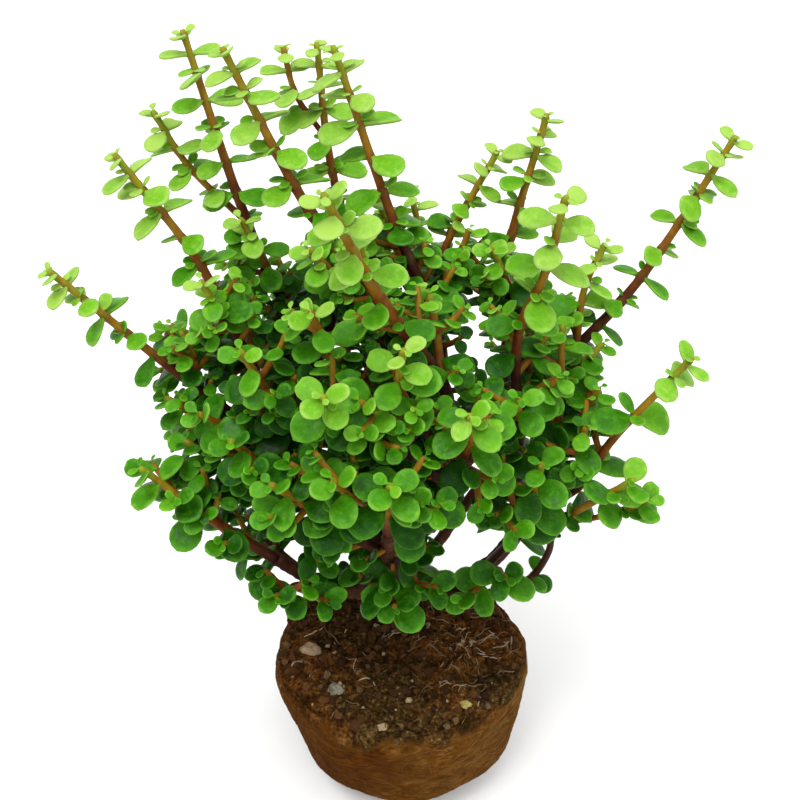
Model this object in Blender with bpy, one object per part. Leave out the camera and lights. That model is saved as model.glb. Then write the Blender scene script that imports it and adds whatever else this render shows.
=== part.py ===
"""A dwarf jade bonsai (Portulacaria afra) standing on its bare root ball.

Metres, +Z up, -Y is the front. The origin is on the root ball's flat underside,
straight below the middle of its rim. The trunk stands in a hole in the soil, the
stones lie in dimples of it, and each leafy shoot butts against the wood. Pieces that
touch keep a fine gap.
"""

import math
import random
from collections import namedtuple

import bmesh
import bpy
from mathutils import Vector
from mathutils.bvhtree import BVHTree

MM = 0.001
UP = Vector((0, 0, 1))
GAP = 0.3 * MM
GOLDEN_ANGLE = math.radians(137.508)

# Root ball: height and radius of its side from the rim down in millimetres, how far
# its foot sits to the right and to the back of its rim, and its lumps and clods. The
# waves of the side give the turns about the ball, the turn per metre up and the start,
# and those of the soil the size, the turns per metre across and back and the start.
BALL_HEIGHT = 66 * MM
BALL_SIDE = ((66, 55), (50, 53.6), (34, 51.6), (19, 50), (7, 41), (0, 35.5))
BALL_FOOT_SHIFT = (5, 10)
BALL_FOOT_CURVE = 1.7
BALL_SEGMENTS = 30
BALL_TOP_RINGS = 5
BALL_LUMP = 0.7 * MM
BALL_WAVES = ((3, 40, 0.0), (7, -90, 1.3))
BALL_CALM = 12 * MM
SOIL_DOME = 2.5 * MM
SOIL_CLOD = 1.0 * MM
SOIL_WAVES = ((0.5, 110, 210, 0.7), (0.5, 270, -90, -0.7), (0.6, 330, -210, 2.1))
HOLE_FLOOR = 44 * MM
HOLE_CLEARANCE = 0.5 * MM

# Stones on the soil, in millimetres: place across and back, half sizes, height of
# the middle over the soil, and colour.
STONES = {
    "stone_beige": ((-38.9, -7.5), (5.4, 4.4, 3.2), 0.0, (0.50, 0.36, 0.22)),
    "stone_grey": ((-25.9, -29.0), (4.3, 3.8, 3.0), -0.25, (0.20, 0.18, 0.15)),
    "stone_yellow": ((26.3, -36.6), (3.6, 2.6, 2.2), -0.4, (0.42, 0.30, 0.10)),
    "stone_chip": ((-43.4, -14.6), (2.9, 2.3, 1.9), -0.25, (0.45, 0.33, 0.20)),
}
STONE_POINTS = 14
STONE_SEED = 287
DIMPLE_SCALE = 1.17

# Wood, in millimetres: the limb that carries it, place on that limb as a share of its
# length, points up to the end, radius at the base and at the end.
LIMBS = {
    "trunk": (None, 0, [(2, 10, 44), (2, 10, 68), (1, 8, 92), (0, 6, 116)], 6.8, 5.4),
    "leader": ("trunk", 1.0, [(1, 4, 156), (4, 4, 196)], 4.8, 3.3),
    "limb_left": ("trunk", 0.85, [(-24, -6, 146), (-42, -14, 186)], 4.2, 2.9),
    "limb_right": ("trunk", 0.55, [(32, -4, 109), (45, -11, 136), (43, -14, 167)], 3.6, 2.5),
    "limb_left_back": ("trunk", 0.95, [(-20, 20, 158), (-36, 28, 200)], 4.2, 2.9),
    "limb_back": ("trunk", 0.8, [(8, 32, 140), (10, 52, 180)], 4.0, 2.7),
    "limb_back_right": ("leader", 0.2, [(28, 18, 150), (48, 30, 190)], 3.8, 2.7),
    "limb_front": ("trunk", 0.9, [(-4, -24, 132), (-4, -42, 158)], 3.8, 2.6),
    "limb_front_right": ("trunk", 0.98, [(10, -14, 150), (16, -28, 196)], 3.8, 2.7),
    "limb_left_low": ("trunk", 0.6, [(-26, -18, 112), (-46, -34, 140)], 3.6, 2.5),
    "limb_back_left": ("trunk", 0.7, [(-24, 28, 118), (-44, 44, 150)], 3.6, 2.5),
    "limb_back_low": ("trunk", 0.6, [(23, 30, 108), (48, 44, 140)], 3.0, 2.3),
}
LIMB_SIDES = 6

# Leafy shoots, in millimetres: limb, place on it (1 butts against its end), points
# to the tip, radius at the base, leaf length, share of the stem below its leaves, and
# forks as place on the stem and tip. A cut one keeps a bare stump above its leaves.
Shoot = namedtuple("Shoot", "limb place points radius leaf bare forks cut", defaults=(False,))
SHOOTS = {
    "tall_left_back": Shoot("limb_left_back", 1, [(-48, 23, 226), (-57, 16, 261), (-72, 25, 314)],
                            2.5, 10.5, 0.42, [(0.45, (-84, 20, 289)), (0.2, (-54, 2, 257))]),
    "tall_left": Shoot("leader", 1, [(-9, 2, 228), (-31, -5, 264), (-54, -5, 313)],
                       2.8, 11, 0.4, []),
    "left_high": Shoot("limb_left", 1, [(-54, -13, 214), (-68, -9, 247), (-90, -10, 282)],
                       2.4, 10.5, 0.32, [(0.35, (-64, -24, 245))]),
    "tall_back": Shoot("leader", 0.85, [(-12, 22, 216), (-25, 35, 265), (-29, 40, 308)],
                       2.6, 10.5, 0.48, [(0.75, (-41, 42, 306))]),
    "tall_middle": Shoot("leader", 0.7, [(15, -3, 202), (11, -4, 226), (-2, 1, 256), (-21, 5, 312)],
                         2.6, 11.5, 0.42, []),
    "front_tall": Shoot("limb_front_right", 1, [(13, -38, 216), (-7, -52, 253), (-20, -66, 286)],
                        2.9, 10, 0.3, []),
    "back_short": Shoot("leader", 0.95, [(11, 14, 214), (17, 25, 239), (35, 30, 273)],
                        2.1, 10, 0.36, []),
    "right_back_tall": Shoot("limb_back_right", 1, [(46, 26, 212), (39, 20, 235), (50, 20, 288)],
                             2.3, 10.5, 0.32, [(0.3, (31, 2, 247))]),
    "right_large": Shoot("limb_right", 0.93, [(42, -24, 180), (38, -30, 226), (44, -37, 252),
                                              (47, -45, 279)],
                         2.3, 11.5, 0.5, [(0.3, (37, -50, 216))]),
    "right_tall": Shoot("limb_right", 1, [(46, -8, 185), (60, 0, 204), (85, 5, 234), (112, 10, 283)],
                        2.5, 10.5, 0.32, [(0.36, (70, 0, 249)), (0.25, (72, -6, 214))]),
    "right_middle": Shoot("limb_right", 0.62, [(52, -19, 151), (65, -25, 166), (74, -30, 190),
                                               (95, -33, 222)],
                          2.1, 13, 0.42, [(0.5, (62, -36, 198))]),
    "right_low": Shoot("limb_right", 0.5, [(45, -20, 139), (57, -30, 154), (78, -46, 183)],
                       1.9, 15, 0.4, [(0.5, (85, -42, 172))]),
    "cut_twig": Shoot("limb_right", 0.22, [(35, -15, 107), (49, -24, 121), (55, -29, 138),
                                           (55.5, -31, 150)],
                      1.7, 10.5, 0.45, [], True),
    "right_lowest": Shoot("limb_right", 0.42, [(38, -20, 123), (38, -31, 129), (38, -42, 138)],
                          1.8, 14.5, 0.3, [(0.5, (24, -38, 124))]),
    "left_out": Shoot("limb_left", 0.85, [(-58, -12, 186), (-85, -15, 214), (-114, -20, 247)],
                      2.3, 10.5, 0.3, [(0.4, (-76, -10, 221)), (0.2, (-82, -20, 200))]),
    "left_side": Shoot("limb_left_back", 0.9, [(-50, 14, 200), (-68, 8, 208), (-86, 4, 216)],
                       2.1, 10.5, 0.3, [(0.5, (-90, 0, 200))]),
    "left_low_out": Shoot("limb_left_low", 1, [(-56, -36, 150), (-69, -38, 163), (-87, -43, 186)],
                          2.2, 12.5, 0.3, [(0.4, (-78, -24, 176))]),
    "front_left_low": Shoot("limb_left_low", 0.75, [(-40, -36, 128), (-42, -42, 130), (-44, -50, 136)],
                            1.7, 13.5, 0.2, [(0.3, (-26, -46, 130))]),
    "front_low": Shoot("limb_front", 0.45, [(-2, -24, 118), (-2, -32, 118), (-2, -42, 124)],
                       1.7, 14.5, 0.2, [(0.3, (14, -38, 130))]),
    "front_bright": Shoot("limb_front", 1, [(-4, -54, 170), (-4, -66, 186), (-3, -78, 203)],
                          2.2, 13, 0.3, [(0.3, (12, -68, 189))]),
    "front_left": Shoot("limb_front", 0.75, [(-16, -40, 154), (-28, -54, 176), (-40, -66, 195)],
                        2.0, 12.5, 0.35, [(0.45, (-22, -62, 180))]),
    "front_right": Shoot("limb_front_right", 0.75, [(18, -38, 182), (22, -56, 204), (20, -72, 223)],
                         2.0, 12, 0.35, [(0.35, (30, -60, 193))]),
    "front_high": Shoot("limb_front_right", 0.9, [(8, -42, 200), (0, -54, 222), (1, -64, 240)],
                        1.9, 11.5, 0.35, []),
    "front_left_high": Shoot("leader", 0.6, [(-10, -14, 182), (-20, -46, 208), (-22, -72, 229)],
                             2.1, 12, 0.45, []),
    "left_front": Shoot("limb_left", 0.7, [(-38, -24, 172), (-48, -38, 186), (-54, -52, 202)],
                        2.0, 12.5, 0.3, [(0.4, (-66, -40, 205))]),
    "left_front_high": Shoot("limb_left", 0.97, [(-42, -26, 194), (-44, -34, 210), (-50, -42, 229)],
                             1.9, 11.5, 0.3, []),
    "left_middle": Shoot("limb_left", 0.55, [(-42, -18, 162), (-58, -24, 170), (-74, -31, 189)],
                         2.0, 12.5, 0.3, [(0.5, (-79, -12, 185)), (0.3, (-64, -34, 188))]),
    "front_right_low": Shoot("limb_right", 0.8, [(45, -28, 158), (46, -40, 174), (46, -50, 192)],
                             1.9, 13.5, 0.3, [(0.45, (32, -48, 170))]),
    "right_high": Shoot("limb_right", 0.98, [(56, -20, 176), (56, -18, 198), (55, -16, 226)],
                        1.9, 11.5, 0.3, []),
    "middle_high": Shoot("leader", 0.98, [(2, -8, 214), (-10, -14, 236), (-13, -20, 258)],
                         1.8, 10.5, 0.3, []),
    "back_middle": Shoot("limb_back", 1, [(12, 60, 200), (10, 68, 222), (4, 72, 246)],
                         2.3, 11, 0.3, [(0.3, (26, 66, 218))]),
    "back_left": Shoot("limb_back_left", 1, [(-52, 52, 166), (-62, 58, 186), (-72, 60, 208)],
                       2.2, 12, 0.3, [(0.3, (-48, 70, 182))]),
    "back_right": Shoot("limb_back_low", 1, [(56, 52, 156), (66, 58, 176), (76, 60, 200)],
                        2.2, 12, 0.3, [(0.3, (54, 68, 178))]),
}

# Shoots that fill the crown's back, in millimetres: tips spread by the golden angle
# over an ellipsoid, each reached from the nearest limb by a stem that leaves it
# sideways and sags a little, with one fork. A start or a fork goes so much outward
# and so much along its host.
CROWN_CENTRE = (0, 6, 176)
CROWN_RADII = (80, 78, 74)
CROWN_TIPS = 90
CROWN_LOWEST = 122
CROWN_FRONT = -4
CROWN_SHOOTS = 16
CROWN_SPREAD = 29
CROWN_REACH = (26, 78)
FILL_RADIUS = 2.0
FILL_LEAF = 12
FILL_BARE = 0.3
FILL_PLACES = [share / 20 for share in range(8, 20)]
FILL_LEAST_LEAN = 0.1
FILL_START = (0.176, 0.11)
FILL_MIDDLE = 0.6
FILL_SAG = 0.06
FORK_PLACE = 0.4
FORK_REACH = (14.3, 16.5)
FORK_TRIES = 8
FORK_BARE = 0.2

# Stems: ring spacing, number of sides, a fork's thickness and bulge as shares of its
# host's radius and of its own length, and the ends of grown tips and of cut stumps.
CURVE_PARTS = 24
RING_LENGTH = 22 * MM
SHOOT_SIDES = 5
FORK_SIDES = 4
FORK_THICKNESS = 0.72
FORK_BULGE = 0.1
TIP_RADIUS = 1.1 * MM
CUT_RADIUS = 1.25 * MM
CUT_STUMP = 0.3

# Leaves: share of the length and of the width of the two rim points on each side, and
# for the pairs from the tip down their size, angle to the stem and distance to the
# pair before. A leaf levels out, whatever its stem's lean, and sags, the more so on the
# plant's light side. Its face looks partly along its stem, partly up and partly to the
# light. Pairs stand crosswise, the first one turned by PAIR_START from the level.
LEAF_RIM = ((0.36, 0.39), (0.78, 0.45))
LEAF_KEEL = 0.45
LEAF_WIDTH = 0.80
LEAF_THICKNESS = 2.0 * MM
LEAF_FACE_RISE = 0.3
LEAF_ROOT = 0.55
LEAF_ALONG_STEM = 0.5
LIGHT_SIDE = Vector((0, -1, 0))
LEAF_TO_LIGHT = 0.4
LEAF_SLOPE = 0.45
LEAF_SAG = (0.04, 0.32)
LEAF_TILT_SPREAD = 18
LEAF_SIZE_SPREAD = (0.9, 1.12)
LEAF_WIDTH_SPREAD = (0.94, 1.08)
LEAF_ANGLE_SPREAD = 8
PAIR_START = 45
PAIR_ROLL_SPREAD = 18
PAIR_SIZES = (0.62, 0.86, 0.98, 1.04, 1.0)
PAIR_ANGLES = (46, 64, 76, 84, 88)
PAIR_SPACING = (3.0, 5.2, 6.4, 8.0, 9.5, 10.5)
SPACING_LEAF = 10 * MM
STEM_PAIRS = (0, 1, 3, 5, 7)
FORK_PAIRS = (0, 1)
LEAF_ROLLS = (0, 22, -22, 44, -44)
LEAF_MARGIN = 0.35 * MM
SOIL_MARGIN = 5 * MM
SEED = 41

Leaf = namedtuple("Leaf", "base along side up stalk length width")


def place(point):
    """A point given in millimetres, as a vector in metres."""
    return Vector(point) * MM


def spline(points, steps=8):
    """A Catmull-Rom curve through the points."""
    knots = [points[0] * 2 - points[1], *points, points[-1] * 2 - points[-2]]
    curve = []
    for a, b, c, d in zip(knots, knots[1:], knots[2:], knots[3:]):
        for step in range(steps):
            t = step / steps
            bend = (2 * a - 5 * b + 4 * c - d) * t * t + (3 * b - a - 3 * c + d) * t ** 3
            curve.append((2 * b + (c - a) * t + bend) * 0.5)
    curve.append(points[-1].copy())
    return curve


def even(curve, count):
    """The same curve, as count + 1 points at even distances."""
    lengths = [0.0]
    for a, b in zip(curve, curve[1:]):
        lengths.append(lengths[-1] + (b - a).length)
    points = []
    i = 0
    for k in range(count + 1):
        want = lengths[-1] * k / count
        while i < len(curve) - 2 and lengths[i + 1] < want:
            i += 1
        part = (want - lengths[i]) / (lengths[i + 1] - lengths[i])
        points.append(curve[i].lerp(curve[i + 1], part))
    return points


class Stem:
    """A tapered round stem, whose rings lie along a smooth curve at even distances."""

    def __init__(self, points, thick, thin, face=None):
        curve = spline(points)
        self.curve = even(curve, CURVE_PARTS)
        self.length = sum((b - a).length for a, b in zip(curve, curve[1:]))
        self.rings = max(2, round(self.length / RING_LENGTH))
        self.points = even(curve, self.rings)
        self.thick = thick
        self.thin = thin
        self.face = face or (curve[1] - curve[0]).normalized()

    def at(self, share):
        """The point of the axis at a share of the length."""
        x = min(max(share, 0.0), 1.0) * self.rings
        i = min(int(x), self.rings - 1)
        return self.points[i].lerp(self.points[i + 1], x - i)

    def heading(self, share):
        """The direction of growth at a share of the length."""
        i = min(int(share * CURVE_PARTS), CURVE_PARTS - 1)
        return (self.curve[i + 1] - self.curve[i]).normalized()

    def radius(self, share):
        """The radius at a share of the length."""
        return self.thick + (self.thin - self.thick) * share

    def shell(self, sides, grow=0.0):
        """Corners and faces of the stem as a closed tube with flat ends."""
        corners = []
        side = self.face.orthogonal()
        for k, point in enumerate(self.points):
            ahead = self.face if k == 0 else self.heading(k / self.rings)
            side = (side - ahead * side.dot(ahead)).normalized()
            other = ahead.cross(side)
            reach = self.radius(k / self.rings) + grow
            for s in range(sides):
                turn = math.tau * s / sides
                corners.append(point + (side * math.cos(turn) + other * math.sin(turn)) * reach)
        faces = [tuple(range(sides))[::-1]]
        for k in range(self.rings):
            for s in range(sides):
                a = k * sides + s
                b = k * sides + (s + 1) % sides
                faces.append((a, b, b + sides, a + sides))
        faces.append(tuple(self.rings * sides + s for s in range(sides)))
        return corners, faces


def square_to(direction, wanted):
    """The part of the wanted direction that is square to another, at length one."""
    return (wanted - direction * wanted.dot(direction)).normalized()


def grow_wood(room):
    """All limbs as stems, each rooted in the middle of the one that carries it."""
    wood = {}
    for name, (host, share, points, thick, thin) in LIMBS.items():
        path = [place(point) for point in points]
        if host:
            path.insert(0, wood[host].at(share))
        wood[name] = Stem(path, thick * MM, thin * MM)
        room.add_stem("wood", wood[name], LIMB_SIDES)
    return wood


def butt_on(limb, share, points, thick, thin):
    """A stem whose flat base butts on a limb's end, or on its side."""
    if share == 1:
        face = limb.heading(1.0)
        base = limb.at(1.0) + face * GAP
    else:
        face = square_to(limb.heading(share), points[0] - limb.at(share))
        base = limb.at(share) + face * (limb.radius(share) + GAP)
    return Stem([base, *points], thick, thin, face)


def fork_off(stem, share, tip):
    """A side stem that starts inside another one and bends up to its tip."""
    base = stem.at(share)
    out = square_to(stem.heading(share), tip - base)
    middle = base.lerp(tip, 0.5) + out * (tip - base).length * FORK_BULGE
    return Stem([base, middle, tip], stem.radius(share) * FORK_THICKNESS, TIP_RADIUS)


class Room:
    """What the stems and leaves already take up, for clearance."""

    def __init__(self):
        self.taken = []

    def add(self, owner, corners, faces):
        """Take up the space of one closed shape."""
        middle = sum(corners, Vector()) / len(corners)
        reach = max((corner - middle).length for corner in corners)
        self.taken.append((owner, middle, reach, BVHTree.FromPolygons(corners, faces)))

    def add_stem(self, owner, stem, sides):
        """Take up the space of a stem, ring by ring."""
        corners, faces = stem.shell(sides)
        for k in range(stem.rings):
            self.add(owner, corners[k * sides:(k + 2) * sides], faces[1:1 + sides])

    def clashes(self, corners, faces, others_of=None, own=None):
        """Whether a shape cuts what others take up, or what its own node does."""
        middle = sum(corners, Vector()) / len(corners)
        reach = max((corner - middle).length for corner in corners)
        shape = BVHTree.FromPolygons(corners, faces)
        for owner, centre, radius, tree in self.taken:
            if others_of is not None and owner == others_of:
                continue
            if own is not None and owner != own:
                continue
            if (centre - middle).length < radius + reach and shape.overlap(tree):
                return True
        return False


def leaf_shape(leaf, grow=0.0):
    """Corners of a leaf with a flat face and a keel: root, rim from right to left, keel."""
    length = leaf.length + grow
    width = leaf.width + 2 * grow
    (near, near_half), (far, far_half) = LEAF_RIM
    rim = [(near, -near_half), (far, -far_half), (1, 0), (far, far_half), (near, near_half)]
    top = leaf.up * (LEAF_THICKNESS * LEAF_FACE_RISE + grow)
    corners = [leaf.base + top]
    for share, across in rim:
        reach = leaf.stalk + share * length
        corners.append(leaf.base + top + leaf.along * reach + leaf.side * (across * width))
    keel = leaf.along * (leaf.stalk + LEAF_KEEL * length) - leaf.up * (LEAF_THICKNESS + 2 * grow)
    corners.append(corners[0] + keel)
    return corners


LEAF_TOP = [(0, 1, 2, 3, 4, 5)]
ROOT_FACES = [(0, 5, 6), (1, 0, 6)]
BLADE_FACES = [(5, 4, 6), (4, 3, 6), (3, 2, 6), (2, 1, 6)]
LEAF_FACES = LEAF_TOP + ROOT_FACES + BLADE_FACES


def of_rank(values, rank):
    """The value for a pair, counted from the tip; the last one holds for the rest."""
    return values[min(rank, len(values) - 1)]


def leaf_stations(stem, leaf_length, bare, stump=0.0):
    """Shares of the stem's length where its leaf pairs sit, from the tip down."""
    stations = []
    share = 1 - stump
    while True:
        step = of_rank(PAIR_SPACING, len(stations)) * MM * leaf_length / SPACING_LEAF
        share -= step / stem.length
        if share < bare:
            return stations
        stations.append(share)


def make_leaf(stem, share, rank, roll, leaf_length, draw):
    """One leaf at a station; rank counts pairs from the tip, roll turns it about the stem."""
    ahead = stem.heading(share)
    level = square_to(ahead, UP.cross(ahead) + Vector((0.01, 0.02, 0)))
    out = level * math.cos(roll) + ahead.cross(level) * math.sin(roll)
    spread = draw.uniform(-LEAF_ANGLE_SPREAD, LEAF_ANGLE_SPREAD)
    angle = math.radians(of_rank(PAIR_ANGLES, rank) + spread)
    sag = LEAF_SAG[0] + LEAF_SAG[1] * max(0.0, out.dot(LIGHT_SIDE))
    along = ahead * math.cos(angle) + out * math.sin(angle)
    along.z = along.z * LEAF_SLOPE - sag
    along.normalize()
    face = ahead * LEAF_ALONG_STEM + UP * (1 - LEAF_ALONG_STEM) + LIGHT_SIDE * LEAF_TO_LIGHT
    level_up = square_to(along, face)
    tilt = math.radians(draw.uniform(-LEAF_TILT_SPREAD, LEAF_TILT_SPREAD))
    up = level_up * math.cos(tilt) + level_up.cross(along) * math.sin(tilt)
    size = leaf_length * of_rank(PAIR_SIZES, rank) * draw.uniform(*LEAF_SIZE_SPREAD)
    width = size * LEAF_WIDTH * draw.uniform(*LEAF_WIDTH_SPREAD)
    radius = stem.radius(share)
    base = stem.at(share) - along * radius * LEAF_ROOT
    return Leaf(base, along, up.cross(along), up, radius * (1 + LEAF_ROOT), size, width)


def grow_pair(room, name, stem, share, rank, leaf_length, draw):
    """The two leaves of one station, each rolled until it hangs clear."""
    leaves = []
    spread = draw.uniform(-PAIR_ROLL_SPREAD, PAIR_ROLL_SPREAD)
    start = math.radians(PAIR_START + 90 * (rank % 2) + spread)
    for half in (0, math.pi):
        for roll in LEAF_ROLLS:
            leaf = make_leaf(stem, share, rank, start + half + math.radians(roll), leaf_length, draw)
            if fits(room, name, leaf):
                room.add(name, leaf_shape(leaf), LEAF_FACES)
                leaves.append(leaf)
                break
    return leaves


def fits(room, name, leaf):
    """Whether a leaf is clear of the other nodes, of its own node's blades and of the soil."""
    roomy = leaf_shape(leaf, LEAF_MARGIN)
    if min(corner.z for corner in roomy) < BALL_HEIGHT + SOIL_MARGIN:
        return False
    if room.clashes(roomy, LEAF_FACES, others_of=name):
        return False
    return not room.clashes(leaf_shape(leaf), [(1, 2, 3, 4, 5)] + BLADE_FACES, own=name)


def fill_shoots(wood, room):
    """More shoots over the crown's back, to tips spread by the golden angle."""
    taken = [place(shoot.points[-1]) for shoot in SHOOTS.values()]
    taken += [place(tip) for shoot in SHOOTS.values() for _, tip in shoot.forks]
    shoots = {}
    for i in range(CROWN_TIPS):
        level = 1 - 2 * (i + 0.5) / CROWN_TIPS
        flat = math.sqrt(1 - level * level)
        turn = i * GOLDEN_ANGLE
        out = (flat * math.cos(turn), flat * math.sin(turn), level)
        tip = place([CROWN_CENTRE[k] + out[k] * CROWN_RADII[k] for k in range(3)])
        near = min((tip - other).length for other in taken)
        if near < CROWN_SPREAD * MM or tip.z < CROWN_LOWEST * MM or tip.y < CROWN_FRONT * MM:
            continue
        stem = reach_tip(wood, room, tip)
        if stem and len(shoots) < CROWN_SHOOTS:
            name = f"fill_{len(shoots) + 1}"
            shoots[name] = stem
            taken.append(tip)
            room.add_stem(name, stem, SHOOT_SIDES)
    return shoots


def reach_tip(wood, room, tip):
    """The shortest clear stem from the side of some limb to a tip."""
    starts = []
    for name, limb in wood.items():
        for share in FILL_PLACES:
            distance = (tip - limb.at(share)).length
            if CROWN_REACH[0] * MM < distance < CROWN_REACH[1] * MM:
                starts.append((distance, name, share))
    for distance, name, share in sorted(starts):
        limb = wood[name]
        base = limb.at(share)
        if (tip - base).normalized().dot(limb.heading(share)) < FILL_LEAST_LEAN:
            continue
        out = square_to(limb.heading(share), tip - base)
        first = base + (out * FILL_START[0] + limb.heading(share) * FILL_START[1]) * distance
        middle = base.lerp(tip, FILL_MIDDLE) + (out - UP) * distance * FILL_SAG
        stem = butt_on(limb, share, [first, middle, tip], FILL_RADIUS * MM, TIP_RADIUS)
        corners, faces = stem.shell(SHOOT_SIDES, GAP)
        if not room.clashes(corners, faces):
            return stem
    return None


def fill_fork(room, name, stem):
    """A fork on a filling shoot, turned about it until it is clear, or nothing."""
    base = stem.at(FORK_PLACE)
    ahead = stem.heading(FORK_PLACE)
    level = square_to(ahead, UP.cross(ahead))
    for step in range(FORK_TRIES):
        turn = step * GOLDEN_ANGLE
        out = level * math.cos(turn) + ahead.cross(level) * math.sin(turn)
        tip = base + (out * FORK_REACH[0] + ahead * FORK_REACH[1]) * MM
        fork = fork_off(stem, FORK_PLACE, tip)
        corners, faces = fork.shell(FORK_SIDES, GAP)
        if not room.clashes(corners, faces, others_of=name):
            room.add_stem(name, fork, FORK_SIDES)
            return [fork]
    return []


def grow_stems(wood, room):
    """For each shoot its stem and forks, and with what leaves they are set."""
    stems = {}
    sets = {}
    for name, shoot in SHOOTS.items():
        points = [place(point) for point in shoot.points]
        thin = CUT_RADIUS if shoot.cut else TIP_RADIUS
        main = butt_on(wood[shoot.limb], shoot.place, points, shoot.radius * MM, thin)
        room.add_stem(name, main, SHOOT_SIDES)
        forks = [fork_off(main, share, place(tip)) for share, tip in shoot.forks]
        for fork in forks:
            room.add_stem(name, fork, FORK_SIDES)
        stems[name] = [main, *forks]
        sets[name] = (shoot.leaf * MM, shoot.bare, CUT_STUMP if shoot.cut else 0)
    for name, main in fill_shoots(wood, room).items():
        stems[name] = [main, *fill_fork(room, name, main)]
        sets[name] = (FILL_LEAF * MM, FILL_BARE, 0)
    return stems, sets


def grow_leaves(room, stems, sets):
    """For each shoot its leaves, pair by pair, each clear of all that is there."""
    leaves = {}
    for index, (name, (main, *forks)) in enumerate(stems.items()):
        draw = random.Random(SEED + index)
        leaf_length, bare, stump = sets[name]
        stations = [(main, leaf_stations(main, leaf_length, bare, stump), STEM_PAIRS)]
        stations += [(fork, leaf_stations(fork, leaf_length, FORK_BARE), FORK_PAIRS) for fork in forks]
        leaves[name] = []
        for stem, shares, pairs in stations:
            for rank, share in enumerate(shares):
                if rank in pairs:
                    leaves[name] += grow_pair(room, name, stem, share, rank, leaf_length, draw)
    return leaves


def paint(name, colour, roughness):
    """A plain surface of one colour."""
    material = bpy.data.materials.get(name) or bpy.data.materials.new(name)
    material.use_nodes = True
    surface = material.node_tree.nodes["Principled BSDF"]
    surface.inputs["Base Color"].default_value = (*colour, 1)
    surface.inputs["Roughness"].default_value = roughness
    surface.inputs["Metallic"].default_value = 0.0
    return material


def add_object(name, corners, faces, collection=None):
    """A mesh object in the scene, or in a collection of its own."""
    mesh = bpy.data.meshes.new(name)
    mesh.from_pydata([tuple(corner) for corner in corners], [], faces)
    mesh.update()
    thing = bpy.data.objects.new(name, mesh)
    (collection or bpy.context.scene.collection).objects.link(thing)
    return thing


def is_closed(mesh):
    """Whether every edge of a mesh joins two faces."""
    check = bmesh.new()
    check.from_mesh(mesh)
    closed = len(check.faces) > 0 and all(edge.is_manifold for edge in check.edges)
    check.free()
    return closed


def cut_or_join(thing, shapes, operation):
    """Join the shapes to an object, or cut them out of it, and remove them."""
    group = bpy.data.collections.new(thing.name + "_shapes")
    bpy.context.scene.collection.children.link(group)
    for k, (corners, faces) in enumerate(shapes):
        add_object(f"{thing.name}_shape_{k}", corners, faces, group)
    step = thing.modifiers.new("shapes", "BOOLEAN")
    step.operand_type = "COLLECTION"
    step.collection = group
    step.operation = operation
    for solver in ("EXACT", "MANIFOLD"):
        step.solver = solver
        view = bpy.context.evaluated_depsgraph_get()
        mesh = bpy.data.meshes.new_from_object(thing.evaluated_get(view))
        if is_closed(mesh):
            break
    thing.modifiers.clear()
    thing.data = mesh
    for shape in list(group.objects):
        bpy.data.objects.remove(shape)
    bpy.data.collections.remove(group)


def finish(thing, material):
    """Give an object its material and smooth its round sides."""
    thing.data.materials.clear()
    thing.data.materials.append(material)
    thing.data.shade_smooth()
    thing.data.set_sharp_from_angle(angle=math.radians(40))


def build_wood(wood):
    """The trunk and its limbs as one body."""
    shells = [limb.shell(LIMB_SIDES) for limb in wood.values()]
    thing = add_object("trunk_and_limbs", *shells[0])
    cut_or_join(thing, shells[1:], "UNION")
    finish(thing, paint("bark", (0.10, 0.045, 0.025), 0.75))


def build_shoot(name, branches, leaves):
    """One leafy shoot: its stem with the forks and leaves fused to it."""
    thing = add_object(name, *branches[0].shell(SHOOT_SIDES))
    shapes = [fork.shell(FORK_SIDES) for fork in branches[1:]]
    shapes += [(leaf_shape(leaf), LEAF_FACES) for leaf in leaves]
    cut_or_join(thing, shapes, "UNION")
    finish(thing, paint("leaf", (0.13, 0.36, 0.03), 0.35))


def side_radius(height):
    """The root ball's radius at a height."""
    for (high, outer), (low, inner) in zip(BALL_SIDE, BALL_SIDE[1:]):
        if low * MM <= height:
            share = (height - low * MM) / ((high - low) * MM)
            return (inner + (outer - inner) * min(share, 1.0)) * MM
    return BALL_SIDE[-1][1] * MM


def side_point(turn, height):
    """A point on the root ball's side, which leans off its foot and is a little lumpy."""
    lump = sum(math.sin(around * turn + up * height + start) for around, up, start in BALL_WAVES)
    calm = min(1.0, height / BALL_CALM)
    radius = side_radius(height) + BALL_LUMP * lump * calm
    lean = (1 - height / BALL_HEIGHT) ** BALL_FOOT_CURVE
    middle = Vector((*BALL_FOOT_SHIFT, 0)) * MM * lean
    return middle + Vector((radius * math.cos(turn), radius * math.sin(turn), height))


def soil_height(x, y):
    """Height of the soil's top: a low dome with clods."""
    clod = sum(size * math.sin(across * x + back * y + start)
               for size, across, back, start in SOIL_WAVES)
    far = math.hypot(x, y) / side_radius(BALL_HEIGHT)
    return BALL_HEIGHT + (SOIL_DOME + SOIL_CLOD * clod) * (1 - far ** 4)


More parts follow.
